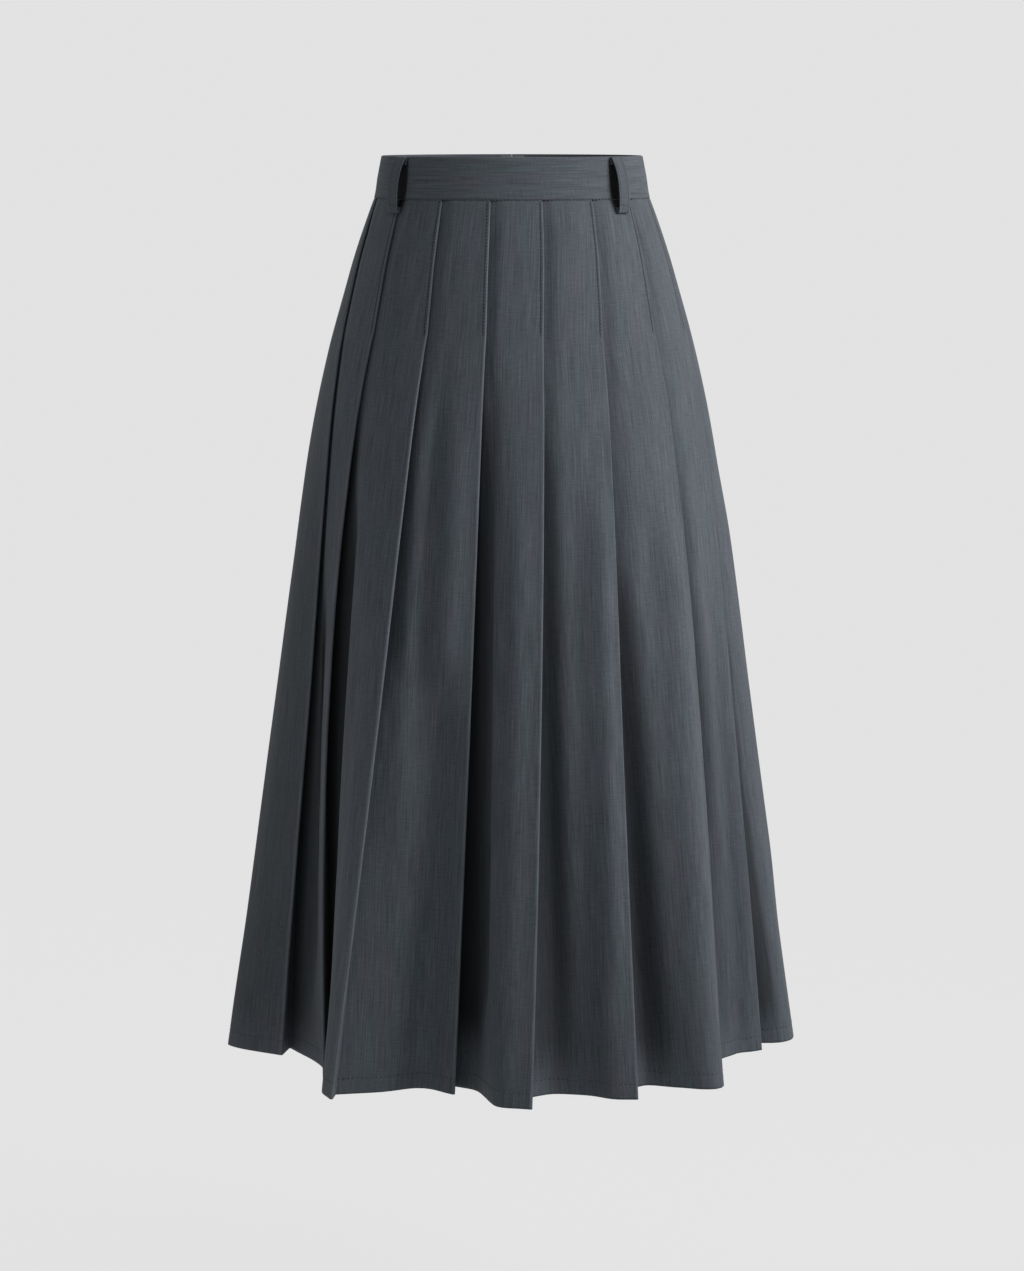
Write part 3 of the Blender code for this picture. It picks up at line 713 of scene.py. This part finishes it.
face_part = net[:, :, :FACE_COUNT]
walk = walked_along(face_part)
shown_walk = walk - walk[:, :, PAST_COLUMN : PAST_COLUMN + 1]
across = np.clip(shown_walk / shown_walk[:, :, -1:], 0.0, 1.0)
lift = np.zeros(across.shape)
for row in CREASES:
    along = (drops - row.top) / (row.bottom - row.top)
    centre = row.across + row.lean * along
    strength = ease((drops - row.top) / CREASE_FADE)
    if row.bottom < TO_THE_HEM:
        strength = strength * ease((row.bottom - drops) / CREASE_FADE)
    aside = across[:, row.pleat] - centre[:, None]
    lift[:, row.pleat] += row.height * strength[:, None] * hump(aside, row.width)
lift *= np.clip(4 * across * (1 - across), 0.0, 1.0) ** 0.5
print("deepest crease, mm:", round(-1000 * float(lift.min()), 2), "highest", round(1000 * float(lift.max()), 2))

# %% [markdown]
# Sewing leaves marks in the cloth. The row of stitches beside each fold bites in a little, the blind stitches
# of the hem pull a faint line all round, and the seam under the band tucks the cloth in. A stitch tool or a
# texture could fake them, but they catch the light best as shape, so they are added to the same net.

# %% Marks of the sewing
STITCH_FROM_FOLD = 0.0013
STITCH_BITE, STITCH_BITE_WIDTH = 0.00035, 0.0006
HEM_TURN = 0.013
HEM_BITE, HEM_BITE_WIDTH = 0.00018, 0.0022
SEAM_TUCK, SEAM_TUCK_OVER = 0.0007, 0.0022
RELEASE_OVER = 0.004

stitched = 1 - ease((drops - STITCHED_TO) / RELEASE_OVER + 0.5)
to_fold = walk[:, :, -1:] - walk
lift -= STITCH_BITE * stitched[:, None, None] * hump(to_fold - STITCH_FROM_FOLD, STITCH_BITE_WIDTH)
net[:, :, :FACE_COUNT] += sideways(face_part) * lift[..., None]

hem_bite = HEM_BITE * hump(drops - (LENGTH - HEM_TURN), HEM_BITE_WIDTH)
tuck = SEAM_TUCK * (1 - ease((drops - BAND_HEIGHT) / SEAM_TUCK_OVER))
whole_net = net.reshape(len(drops), -1, 2)
whole_net -= (hem_bite + tuck)[:, None, None] * sideways(whole_net)
print("rows that are stitched down:", int((stitched > 0.5).sum()))

# %% [markdown]
# Little light gets into the depth of a pleat, so it looks nearly black beside the open faces. That shade is
# painted into the cloth's colour: this table says how strongly, and over what share of the face, each pleat's
# face is darkened where it comes out from under the fold before it. The panels then carry this painted shade as a
# mark on their points.

# %% Painted shade in the pleats' depths
Depth = namedtuple("Depth", "pleat top bottom width strength")
PAINTED_PLEAT_SHADE = [Depth(*row) for row in (
    # The first row darkens most of the leftmost face, as painted shade on the side away from the light.
    (0, 0.22, 0.79, 2.00, 0.28),
    (1, 0.30, 0.79, 0.34, 0.62),
    (2, 0.20, 0.76, 0.13, 0.85),
    (3, 0.15, 0.45, 0.07, 0.4),
    (4, 0.17, 0.77, 0.11, 0.85),
    (5, 0.20, 0.79, 0.34, 0.52),
    (6, 0.32, 0.79, 0.38, 0.55),
    (7, 0.34, 0.79, 0.60, 0.40),
    (8, 0.25, 0.79, 0.05, 0.6),
    (9, 0.20, 0.77, 0.14, 0.7),
    (10, 0.18, 0.78, 0.07, 0.5),
    (11, 0.18, 0.76, 0.14, 0.75),
    (12, 0.20, 0.77, 0.06, 0.5),
    (13, 0.18, 0.78, 0.13, 0.75),
    (14, 0.20, 0.77, 0.07, 0.5),
    (15, 0.18, 0.77, 0.13, 0.7),
)]
DEPTH_FADES_IN, DEPTH_FADES_OUT = 0.06, 0.05
WIDENS_FROM, WIDENS_OVER = 0.25, 0.18

depth = np.zeros(net.shape[:3])
for row in PAINTED_PLEAT_SHADE:
    along = ease((drops - row.top) / DEPTH_FADES_IN) * ease((row.bottom - drops) / DEPTH_FADES_OUT)
    strength = (row.strength * along)[:, None]
    opened = row.width * mix(WIDENS_FROM, 1.0, ease((drops - row.top) / WIDENS_OVER))[:, None]
    depth[:, row.pleat, :FACE_COUNT] = strength * hump(across[:, row.pleat], opened)
    depth[:, row.pleat - 1, HALF_BACK:] = strength
print("deepest shade:", round(float(depth.max()), 2))

# %% [markdown]
# Hardly any light gets in behind a belt loop, whose two ends are tacked down. That shade is painted into the
# cloth's colour, as dark as the painted shade in a pleat's depth, in a soft patch that is a little wider than the
# strip half way down.
# The skirt's first few centimetres and the band both need it, so it is a function of a place.

# %% Painted shade behind the belt loops
LOOP_WIDTH = 0.012
LOOP_FOOT = 0.0476
LOOPS = {"front_left": -55.0, "front_right": 50.5, "back_left": -124.0, "back_right": 124.0}
SHADE_PAST_LOOP = 0.0026
SHADE_EDGE = 0.0016
SHADE_STRENGTH = 0.97
SHADE_FADES_IN, SHADE_FADES_OUT = 0.10, 0.04


def loop_frame(bearing):
    """A loop's place on the band's top edge, the way out from it, and the way across the strip."""
    origin = on_outline(outline_at(0.0), bearing)
    out = unit(origin - on_outline(outline_at(0.0), bearing, 1.0, 0.001))
    return origin, np.array([*out, 0.0]), np.array([-out[1], out[0], 0.0])


def behind_loops(places, drop):
    """How dark the cloth is at places in plan, where drop can be one number or one for each."""
    dark = np.zeros(places.shape[:-1])
    down = np.clip(drop / LOOP_FOOT, 0.0, 1.0)
    for bearing in LOOPS.values():
        origin, out, across_way = loop_frame(bearing)
        aside = abs((places - origin) @ across_way[:2])
        inside = (places @ out[:2]) > 0
        reach = LOOP_WIDTH / 2 + SHADE_PAST_LOOP * np.sin(math.pi * down)
        along = ease(down / SHADE_FADES_IN) * ease((1 - down) / SHADE_FADES_OUT)
        dark = np.maximum(dark, ease((reach - aside) / SHADE_EDGE + 0.5) * along * inside)
    return SHADE_STRENGTH * dark


# The painted shade behind the loops joins the painted shade of the depths in one mark.
shade = behind_loops(net, drops[:, None, None])
depth = np.maximum(depth, shade)
print("points in the shade of a loop:", int((shade > 0.5).sum()))

# %% [markdown]
# ## The panels
# Each panel is a stretch of that net, from the middle of one hidden return to the middle of another, because
# a maker hides seams inside the pleats. The shell has an outer and an inner side, and the inner side steps in
# where the hem is turned up. Its flat place in metres goes into the UV map named cloth: across from the middle
# of each face, and down from the band. A second map spreads the sides without overlap, for baking.

# %% Panels
SHELL = 0.0008
HEM_ALLOWANCE = 0.032
HEM_STEP = 0.0005
SEAM = 0.0003
PANELS = {
    "front_panel": ("skirt_front", 0, 8),
    "back_right_panel": ("skirt_back_right", 8, 12),
    "back_left_panel": ("skirt_back_left", 12, 16),
}
GRAIN_COLUMN = 11  # the middle of a face, where the grain runs straight down
FACE_APART = 0.137  # keeps one face's streaks unlike the next one's
# Painted highlight along each pleat's fold edge, one strength for each pleat.
EDGE_HIGHLIGHT = (1.0, 1.0, 1.0, 1.0, 0.4, 0.2, 0.0, 0.1, 0.5, 0.8, 0.7, 0.9, 0.8, 0.9, 0.7, 0.9)  # for each pleat
HEM_STEP_OVER = 0.002
Surface = namedtuple("Surface", "first_column outer normals walked")
BAKE_OUTSIDE = (0.01, 0.99), (0.97, 0.0), (0.0, -0.69)  # a corner, and the sides across and down
BAKE_INSIDE = (0.01, 0.26), (0.97, 0.0), (0.0, -0.22)
BAKE_TOP = (0.01, 0.015), (0.97, 0.0), (0.0, 0.005)
BAKE_HEM = (0.01, 0.005), (0.97, 0.0), (0.0, 0.005)
BAKE_START = (0.984, 0.30), (0.0, 0.68), (0.004, 0.0)
BAKE_END = (0.992, 0.30), (0.0, 0.68), (0.004, 0.0)

# A painted highlight lies on the columns round each fold's edge, and a darker line lies on the columns beside the
# stitches, partly the thread's colour and partly painted shade in their groove.
edge_columns, sewn_columns = np.zeros((2, UNIT))
edge_columns[FACE_COUNT - 2 : FACE_COUNT + 4] = (0.3, 1.0, 1.0, 1.0, 1.0, 1.0)
sewn_columns[FACE_COUNT - 4 : FACE_COUNT - 2] = (0.5, 1.0)


def rim(a, b, us, vs, bake_place):
    """The quads between two edge lines."""
    return patch(np.stack([a, b]), corners(np.stack([us, us])), corners(np.stack([vs, vs])), bake_place)


def shell(name, paths, wall_in, first_column, material):
    """A closed shell about the middle lines given for each drop, with its maps and marks."""
    rows, count = paths.shape[:2]
    normals, walked = sideways(paths), walked_along(paths)
    z = np.repeat(height(drops)[:, None], count, axis=1)[..., None]
    outer = np.concatenate([paths + normals * SHELL / 2, z], axis=-1)
    inner = np.concatenate([paths - normals * wall_in[:, None, None], z], axis=-1)
    outside = np.arange(rows * count).reshape(rows, count)
    inside = outside + rows * count

    columns = np.arange(first_column, first_column + count) % (len(PLEATS) * UNIT)
    pleat, place = np.divmod(columns, UNIT)
    starts = np.array([np.flatnonzero(pleat == p)[0] for p in pleat])
    anchor = np.clip(starts + GRAIN_COLUMN - place[starts], 0, count - 1)
    shift = (pleat * FACE_APART - walked[:, anchor])[:, :-1]
    low, high = walked[:, :-1] + shift, walked[:, 1:] + shift
    us = np.stack([low[:-1], low[1:], high[1:], high[:-1]], axis=2)
    vs = corners(np.repeat(-drops[:, None], count, axis=1))
    top, hem = (np.append(low[row], high[row, -1]) for row in (0, -1))
    level, upright = np.ones(count), np.ones(rows)
    parts = [
        patch(outside, us, vs, BAKE_OUTSIDE),
        patch(inside, us, vs, BAKE_INSIDE, flip=True),
        rim(inside[0], outside[0], top, -drops[0] * level, BAKE_TOP),
        rim(outside[-1], inside[-1], hem, -drops[-1] * level, BAKE_HEM),
        rim(outside[:, 0], inside[:, 0], top[0] * upright, -drops, BAKE_START),
        rim(inside[:, -1], outside[:, -1], top[-1] * upright, -drops, BAKE_END),
    ]
    quads, cloth, bake = (np.concatenate(part) for part in zip(*parts))
    thing = add_mesh(name, np.concatenate([outer.reshape(-1, 3), inner.reshape(-1, 3)]), quads, material)
    add_maps(thing, cloth, bake)

    bare = np.zeros((rows, count))
    # The marks: painted highlight along the fold edges, the darker stitch line, partly thread and partly painted
    # shade, and painted shade in the depths and behind the loops.
    fold_highlight = np.array(EDGE_HIGHLIGHT)[pleat] * edge_columns[place]
    mark(thing, "painted_edge_light", np.tile(fold_highlight, (2 * rows, 1)))
    mark(thing, "sewn", np.concatenate([stitched[:, None] * sewn_columns[place], bare]))
    mark(thing, "depth", np.concatenate([depth[:, pleat, place], bare]))
    return thing, Surface(first_column, outer, normals, walked)


inner_wall = SHELL / 2 + HEM_STEP * ease((drops - (LENGTH - HEM_ALLOWANCE)) / HEM_STEP_OVER)
panels, surfaces = {}, {}
for name, (node, first, last) in PANELS.items():
    begin, end = first * UNIT + HALF_BACK, last * UNIT + HALF_BACK
    paths = whole_net[:, np.arange(begin, end + 1) % whole_net.shape[1]].copy()
    for edge, neighbour in ((0, 1), (-1, -2)):
        paths[:, edge] += unit_rows(paths[:, neighbour] - paths[:, edge]) * SEAM / 2
    panels[name], surfaces[name] = shell(name, paths, inner_wall, begin, panel_cloth)
    stand_for(panels[name], node)
    print(name, "columns", paths.shape[1], "triangles", 2 * len(panels[name].data.polygons))

# %% [markdown]
# ## The waistband
# The band is one interfaced strip folded double, so its top edge is a full round and its bottom edges are
# turned in. Sweeping a small section round the outline gives that. Its two ends stop at the centre back with
# a narrow slit between them for the zip, and they are rounded off too, because they are folds.

# %% Waistband
BAND_WALL = 0.0024
BAND_ENDS_APART = 0.0002
BAND_STEPS = 520
BOTTOM_ROUND = 0.0006
END_PINCH = 0.55
OUTSIDE_POINT = 8  # a point of the section that lies on the band's outside
BAKE_SIDES = (0.01, 0.01), (0.0, 0.98), (0.98, 0.0)
BAKE_CAPS = ((0.993, 0.5), (0.993, 0.504))
BAKE_CAP_RADIUS = 0.0018


def band_section():
    """The band's section as (drop, distance inward from the outline), round from the bottom of the outside."""
    half = BAND_WALL / 2
    points = [(BAND_HEIGHT, BOTTOM_ROUND * 1.6), (BAND_HEIGHT - BOTTOM_ROUND * 0.3, BOTTOM_ROUND * 0.5)]
    points += [(drop, 0.0) for drop in np.linspace(BAND_HEIGHT - BOTTOM_ROUND * 1.5, half * 1.6, 14)]
    for angle in np.linspace(0.0, math.pi, 11):
        points.append((half * (1 - math.sin(angle)), half * (1 - math.cos(angle))))
    points += [(drop, BAND_WALL) for drop in np.linspace(half * 1.6, BAND_HEIGHT - BOTTOM_ROUND, 10)]
    points.append((BAND_HEIGHT, BAND_WALL - BOTTOM_ROUND))
    return points


def swept(name, section, rings, far, material):
    """A closed sweep of a section through rings of points, where far is how far along each ring lies."""
    steps, around = rings.shape[:2]
    girth = walked_along(np.vstack([section, section[:1]]))
    ids = np.arange(steps * around).reshape(steps, around)
    us, vs = np.meshgrid(girth, far)
    quads, cloth, bake = patch(np.hstack([ids, ids[:, :1]]), corners(us), corners(vs), BAKE_SIDES)
    faces, flat, spots = list(quads), [cloth], [bake]
    angles = np.linspace(0, 2 * math.pi, around, endpoint=False)
    for end, way, middle in ((0, 1, BAKE_CAPS[0]), (-1, -1, BAKE_CAPS[1])):
        faces.append(ids[end, ::way])
        flat.append(np.stack([girth[:-1], far[end] + 0.001 * (np.arange(around) % 2)], axis=1))
        spots.append(middle + BAKE_CAP_RADIUS * np.stack([np.cos(angles * way), np.sin(angles * way)], axis=1))
    thing = add_mesh(name, rings.reshape(-1, 3), faces, material)
    add_maps(thing, np.vstack(flat), np.vstack(spots))
    return thing


section = np.array(band_section())
edge_angle = degrees_of(outline_at(BAND_HEIGHT / 2), 180.0, BAND_ENDS_APART / 2)
rings = []
for step, bearing in enumerate(np.linspace(180.0 + edge_angle, 540.0 - edge_angle, BAND_STEPS + 1)):
    pinch = END_PINCH if step in (0, BAND_STEPS) else 1.0
    rings.append([
        (*on_outline(outline_at(drop), bearing, 1.0, mix(BAND_WALL / 2, inward, pinch)), height(drop))
        for drop, inward in section
    ])
rings = np.array(rings)
far = walked_along(rings[:, OUTSIDE_POINT])
waistband = swept("folded_waistband", section, rings, far, band_cloth)
band_shade = behind_loops(rings[..., :2], WAIST_TOP - rings[..., 2])
# The band's outside carries the same painted shade behind the loops.
mark(waistband, "depth", band_shade * (section[:, 1] < BAND_WALL / 2))  # only on the band's outside
stand_for(waistband, "waistband")

# %% [markdown]
# ## Belt loops
# A belt loop is a narrow strip, folded under at both ends and tacked to the band's top and to the skirt below
# it. It stands off so that a belt can pass. The strip follows a line of drop and stand-off, rounded by a
# spline, and its ends run back under themselves as the sewn flaps do.

# %% Belt loops
LOOP_STRIP = 0.0009
LOOP_LINE = [  # drop, and how far the strip stands off
    (0.0070, 0.0009), (0.0030, 0.0008), (0.0012, 0.0010),
    (0.0007, 0.0018), (0.0014, 0.0027), (0.0040, 0.0040),
    (0.0085, 0.0057), (0.0160, 0.0073), (0.0250, 0.0079),
    (0.0330, 0.0075), (0.0395, 0.0060), (0.0440, 0.0041),
    (0.0464, 0.0028), (0.0476, 0.0018), (0.0468, 0.0010),
    (0.0430, 0.0008),
]
LOOP_ROWS = 64
FINE = 8  # places worked out for each row before they are evened out


def smooth_line(points, count):
    """Evenly spaced points on a smooth curve through a few points of any dimension."""
    knots = np.array(points, float)
    at = walked_along(knots)
    slopes = np.gradient(knots, at, axis=0)
    fine = []
    for here in np.linspace(0.0, at[-1], count * FINE):
        i = int(np.clip(np.searchsorted(at, here) - 1, 0, len(at) - 2))
        gap = at[i + 1] - at[i]
        fine.append(curve_at(*knots[i : i + 2], *slopes[i : i + 2], gap, (here - at[i]) / gap))
    fine = np.array(fine)
    far = walked_along(fine)
    even = np.linspace(0.0, far[-1], count)
    return np.stack([np.interp(even, far, axis) for axis in fine.T], axis=1)


def strip_section(width, thickness):
    """The rounded section of a flat strip, as (across, outward)."""
    half, round_at = width / 2, thickness / 2
    points = []
    for side in (1, -1):
        for angle in np.linspace(-math.pi / 2, math.pi / 2, 5):
            aside, up = half - round_at + round_at * math.cos(angle), round_at * math.sin(angle)
            points.append((side * aside, side * up))
        points += [(side * x, side * round_at) for x in np.linspace(half * 0.75, -half * 0.75, 7)]
    return np.array(points)


def strip_normals(centre, across_way):
    return np.array([unit(np.cross(across_way, unit(way))) for way in np.gradient(centre, axis=0)])


def strip_along(name, centre, across_way, section, material):
    """Sweeps a strip's section along a line of points, and gives the line's length too."""
    normals = strip_normals(centre, across_way)
    rings = centre[:, None] + section[:, :1] * across_way + section[:, 1:] * normals[:, None]
    far = walked_along(centre)
    return swept(name, section, rings, far, material), float(far[-1])


loops, loop_lines = {}, {}
for name, bearing in LOOPS.items():
    origin, out, across_way = loop_frame(bearing)
    centre = []
    for drop, stand_off in smooth_line(LOOP_LINE, LOOP_ROWS):
        surface = np.dot(on_outline(outline_at(drop), bearing) - origin, out[:2])
        centre.append([*(origin + out[:2] * (surface + stand_off)), height(drop)])
    centre = np.array(centre)
    strip = strip_section(LOOP_WIDTH, LOOP_STRIP)
    loops[name], LOOP_LENGTH = strip_along("loop_" + name, centre, across_way, strip, loop_cloth)
    stand_for(loops[name], "belt_loop_" + name)
    loop_lines[name] = (centre, out, across_way)
print("loop strip, mm:", round(1000 * LOOP_LENGTH))

# %% [markdown]
# ## Stitching
# Small things that repeat a thousand times are best made as one joined mesh: a stitch is a short capsule, and
# one function lays copies of it along any line of points on the cloth. Copies could also be instances, but a
# joined mesh moves with the skirt as one piece. The thread is a dark tone of the cloth.

# %% Thread and stitch maker
thread, work, shader = start_material("thread", Roughness=0.6)
twist = work.noise(work.add("ShaderNodeTexCoord").outputs["Object"], (900.0, 900.0, 900.0), 1.0, 0.5)
work.put(work.mix(twist, (0.006, 0.007, 0.009, 1.0), (0.022, 0.025, 0.030, 1.0)), shader["Base Color"])

STITCH_SIDES = 6
STITCH_RINGS = ((0.0, 0.15), (0.12, 0.75), (0.35, 1.0), (0.65, 1.0), (0.88, 0.75), (1.0, 0.15))
STITCH_DIP = 1.2  # how far its thin ends sink into the cloth
around = np.arange(STITCH_SIDES)
capsule = np.arange(STITCH_SIDES * len(STITCH_RINGS)).reshape(-1, STITCH_SIDES)
capsule_faces = [capsule[0][::-1], capsule[-1]]
for lower, upper in zip(capsule, capsule[1:]):
    capsule_faces += zip(lower, np.roll(lower, -1), np.roll(upper, -1), upper)


def stitch_row(line, normals, stitch, gap, radius, sink=0.35):
    """Stitches along a line of points, each given by its start, its end, the way out and its radius."""
    line, normals = np.asarray(line), np.asarray(normals)
    far = walked_along(line)

    def at(distance, values):
        return np.array([np.interp(distance, far, axis) for axis in values.T])

    rows = []
    start = gap
    while start + stitch < far[-1]:
        out = unit(at(start + stitch / 2, normals))
        raised = out * radius * (1 - sink)
        rows.append((at(start, line) + raised, at(start + stitch, line) + raised, out, radius))
        start += stitch + gap
    return rows


def stitches(name, rows, material=thread):
    points, faces = [], []
    for start, end, out, radius in rows:
        along = end - start
        side = unit(np.cross(along, out))
        lift_way = unit(np.cross(side, along))
        base = len(points)
        for share, size in STITCH_RINGS:
            middle = start + along * share - out * radius * STITCH_DIP * (1 - size)
            for angle in 2 * math.pi * around / STITCH_SIDES:
                points.append(middle + (side * math.cos(angle) + lift_way * math.sin(angle)) * radius * size)
        faces += [tuple(base + i for i in face) for face in capsule_faces]
    thing = add_mesh(name, points, faces, material)
    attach(thing, "skirt")
    print(name, len(rows), "stitches")
    return thing


# %% [markdown]
# The skirt has a row of stitches beside every fold down to the release, blind hem stitches, a row in the ditch
# under the band, and two rows on each loop with a tack at its foot. Each row follows a line that the cloth
# already has: a column or a row of the net, the outline at the band's foot, or a loop's middle line.

# %% Rows of stitches on the skirt
EDGE_ROW = (0.0022, 0.0007, 0.0004)  # a stitch's length, the gap to the next and its radius
HEM_ROW = (0.0018, 0.0022, 0.0004, 0.5)  # and the share that sinks in, where it is more than usual
DITCH_ROW = (0.0021, 0.0010, 0.0004, 0.5)
LOOP_ROW = (0.0020, 0.0007, 0.0002)
TACK_ROW = (0.0016, 0.0001, 0.00028)
STITCH_COLUMN = FACE_COUNT - 3
UNDER_BAND = 0.0375
LOOP_SHOWN = slice(12, 52)  # the rows of a loop's line that are not turned under
TACK_AT = 50
LOOP_ROW_ASIDE, TACK_ASIDE = 0.0042, 0.0056


def in_space(ways):
    """Directions in plan, as directions in space."""
    return np.concatenate([ways, np.zeros((len(ways), 1))], axis=1)


edge_rows, hem_rows = [], []
sewn_down = (drops >= UNDER_BAND) & (drops <= STITCHED_TO)
hem_row = int(np.argmin(abs(drops - (LENGTH - HEM_TURN))))
for k in range(len(PLEATS)):
    for surface in surfaces.values():
        column = (k * UNIT + STITCH_COLUMN - surface.first_column) % (len(PLEATS) * UNIT)
        if column < surface.outer.shape[1]:
            line, ways = surface.outer[:, column], in_space(surface.normals[:, column])
            edge_rows += stitch_row(line[sewn_down], ways[sewn_down], *EDGE_ROW)
            break
edge_stitching = stitches("edge_stitching", edge_rows)
for surface in surfaces.values():
    hem_rows += stitch_row(surface.outer[hem_row], in_space(surface.normals[hem_row]), *HEM_ROW)
hem_stitching = stitches("hem_stitching", hem_rows)

ditch_line, ditch_out = [], []
for bearing in np.linspace(181.0, 539.0, 360):
    spot = on_outline(outline_at(BAND_HEIGHT), bearing, 1.0, BOTTOM_ROUND)
    ditch_line.append((*spot, height(BAND_HEIGHT) - 0.0002))
    ditch_out.append((*unit(spot), 0.0))
ditch_stitching = stitches("ditch_stitching", stitch_row(ditch_line, ditch_out, *DITCH_ROW))

loop_rows = []
for centre, out, across_way in loop_lines.values():
    normals = strip_normals(centre, across_way)
    if np.dot(normals[len(normals) // 2], out) < 0:
        normals = -normals
    face = centre + normals * LOOP_STRIP / 2
    for aside in (-LOOP_ROW_ASIDE, LOOP_ROW_ASIDE):
        line = face + across_way * aside
        loop_rows += stitch_row(line[LOOP_SHOWN], normals[LOOP_SHOWN], *LOOP_ROW)
    tack = [face[TACK_AT] + across_way * x for x in np.linspace(-TACK_ASIDE, TACK_ASIDE, 8)]
    loop_rows += stitch_row(tack, [normals[TACK_AT]] * 8, *TACK_ROW)
stitches("loop_stitching", loop_rows)

# %% [markdown]
# ## The zip
# Two woven tapes run down inside the centre back, with a row of nylon teeth between them, closed to the top.
# The tapes are strips like the belt loops, and a tooth is a thick stitch, so both come from makers that are
# already here. Only the weave is new: noise stretched into ribs, for the colour and the bump.

# %% Zip tapes and teeth
TAPE_WIDTH = 0.0100
TAPE_WALL = 0.00064
TAPE_INSET = 0.0065
ZIP_SLIT = 0.0016
TAPE_TO = WAIST_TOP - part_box("zip_tape_right")[0].z
TEETH_FROM, TEETH_SHORT_OF_END = 0.0135, 0.004
TOOTH_STEP, TOOTH_REACH, TOOTH_RADIUS = 0.0009, 0.0016, 0.00036

tape_cloth, work, shader = start_material("tape_weave", Roughness=0.7)
ribs = work.noise(work.add("ShaderNodeUVMap", uv_map="cloth").outputs["UV"], (2600.0, 500.0, 1.0), 1.0, 0.5)
work.put(work.mix(ribs, (0.022, 0.025, 0.030, 1.0), (0.055, 0.060, 0.068, 1.0)), shader["Base Color"])
work.put(work.bump(ribs, 0.4, 0.0003), shader["Normal"])

tapes = {}
for side, sign in (("right", 1.0), ("left", -1.0)):
    middle = sign * (ZIP_SLIT / 2 + TAPE_WIDTH / 2)
    line = []
    for drop in np.linspace(0.0012, TAPE_TO - 0.0005, 60):
        outline = outline_at(drop)
        bearing = 180.0 - degrees_of(outline, 180.0, middle)
        line.append((*on_outline(outline, bearing, 1.0, TAPE_INSET), height(drop)))
    strip = strip_section(TAPE_WIDTH, TAPE_WALL)
    tapes[side], _ = strip_along("tape_" + side, np.array(line), np.array([-1.0, 0.0, 0.0]), strip, tape_cloth)
    stand_for(tapes[side], "zip_tape_" + side)

tooth_rows = []
for count, drop in enumerate(np.arange(TEETH_FROM, TAPE_TO - TEETH_SHORT_OF_END, TOOTH_STEP)):
    y = on_outline(outline_at(drop), 180.0, 1.0, TAPE_INSET)[1]
    reach = TOOTH_REACH if count % 2 else -TOOTH_REACH
    ends = [np.array([x, y, height(drop)]) for x in (-reach, reach * 0.45)]
    tooth_rows.append((*ends, np.array([0.0, 1.0, 0.0]), TOOTH_RADIUS))
stitches("zip_teeth", tooth_rows, tape_cloth)

# %% [markdown]
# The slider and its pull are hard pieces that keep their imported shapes. They only get a bevel, which catches
# light on their edges as tumbled metal does, and a dark lacquer with a little wear: noise lightens it in spots
# and makes those spots rougher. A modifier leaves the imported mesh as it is, so the pieces still fit each other.

# %% Slider and pull
LACQUER, RUBBED_LACQUER = (0.075, 0.079, 0.085, 1.0), (0.150, 0.155, 0.162, 1.0)

lacquer, work, shader = start_material("dark_lacquer", Metallic=0.9)
rubbed = work.noise(work.add("ShaderNodeTexCoord").outputs["Object"], (700.0,) * 3, 3.0, 0.6)
work.put(work.mix(rubbed, LACQUER, RUBBED_LACQUER), shader["Base Color"])
work.put(work.math("ADD", work.math("MULTIPLY", rubbed, 0.25), 0.25), shader["Roughness"])
for node in ("zip_slider", "zip_pull"):
    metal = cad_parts[node]
    for slot_place in metal.material_slots:
        slot_place.material = lacquer
    bevel = metal.modifiers.new("soft_edges", "BEVEL")
    bevel.width = 0.00018
    bevel.segments = 2
    bevel.limit_method = "ANGLE"
    print(node, "bevelled, mm:", round(1000 * bevel.width, 2))
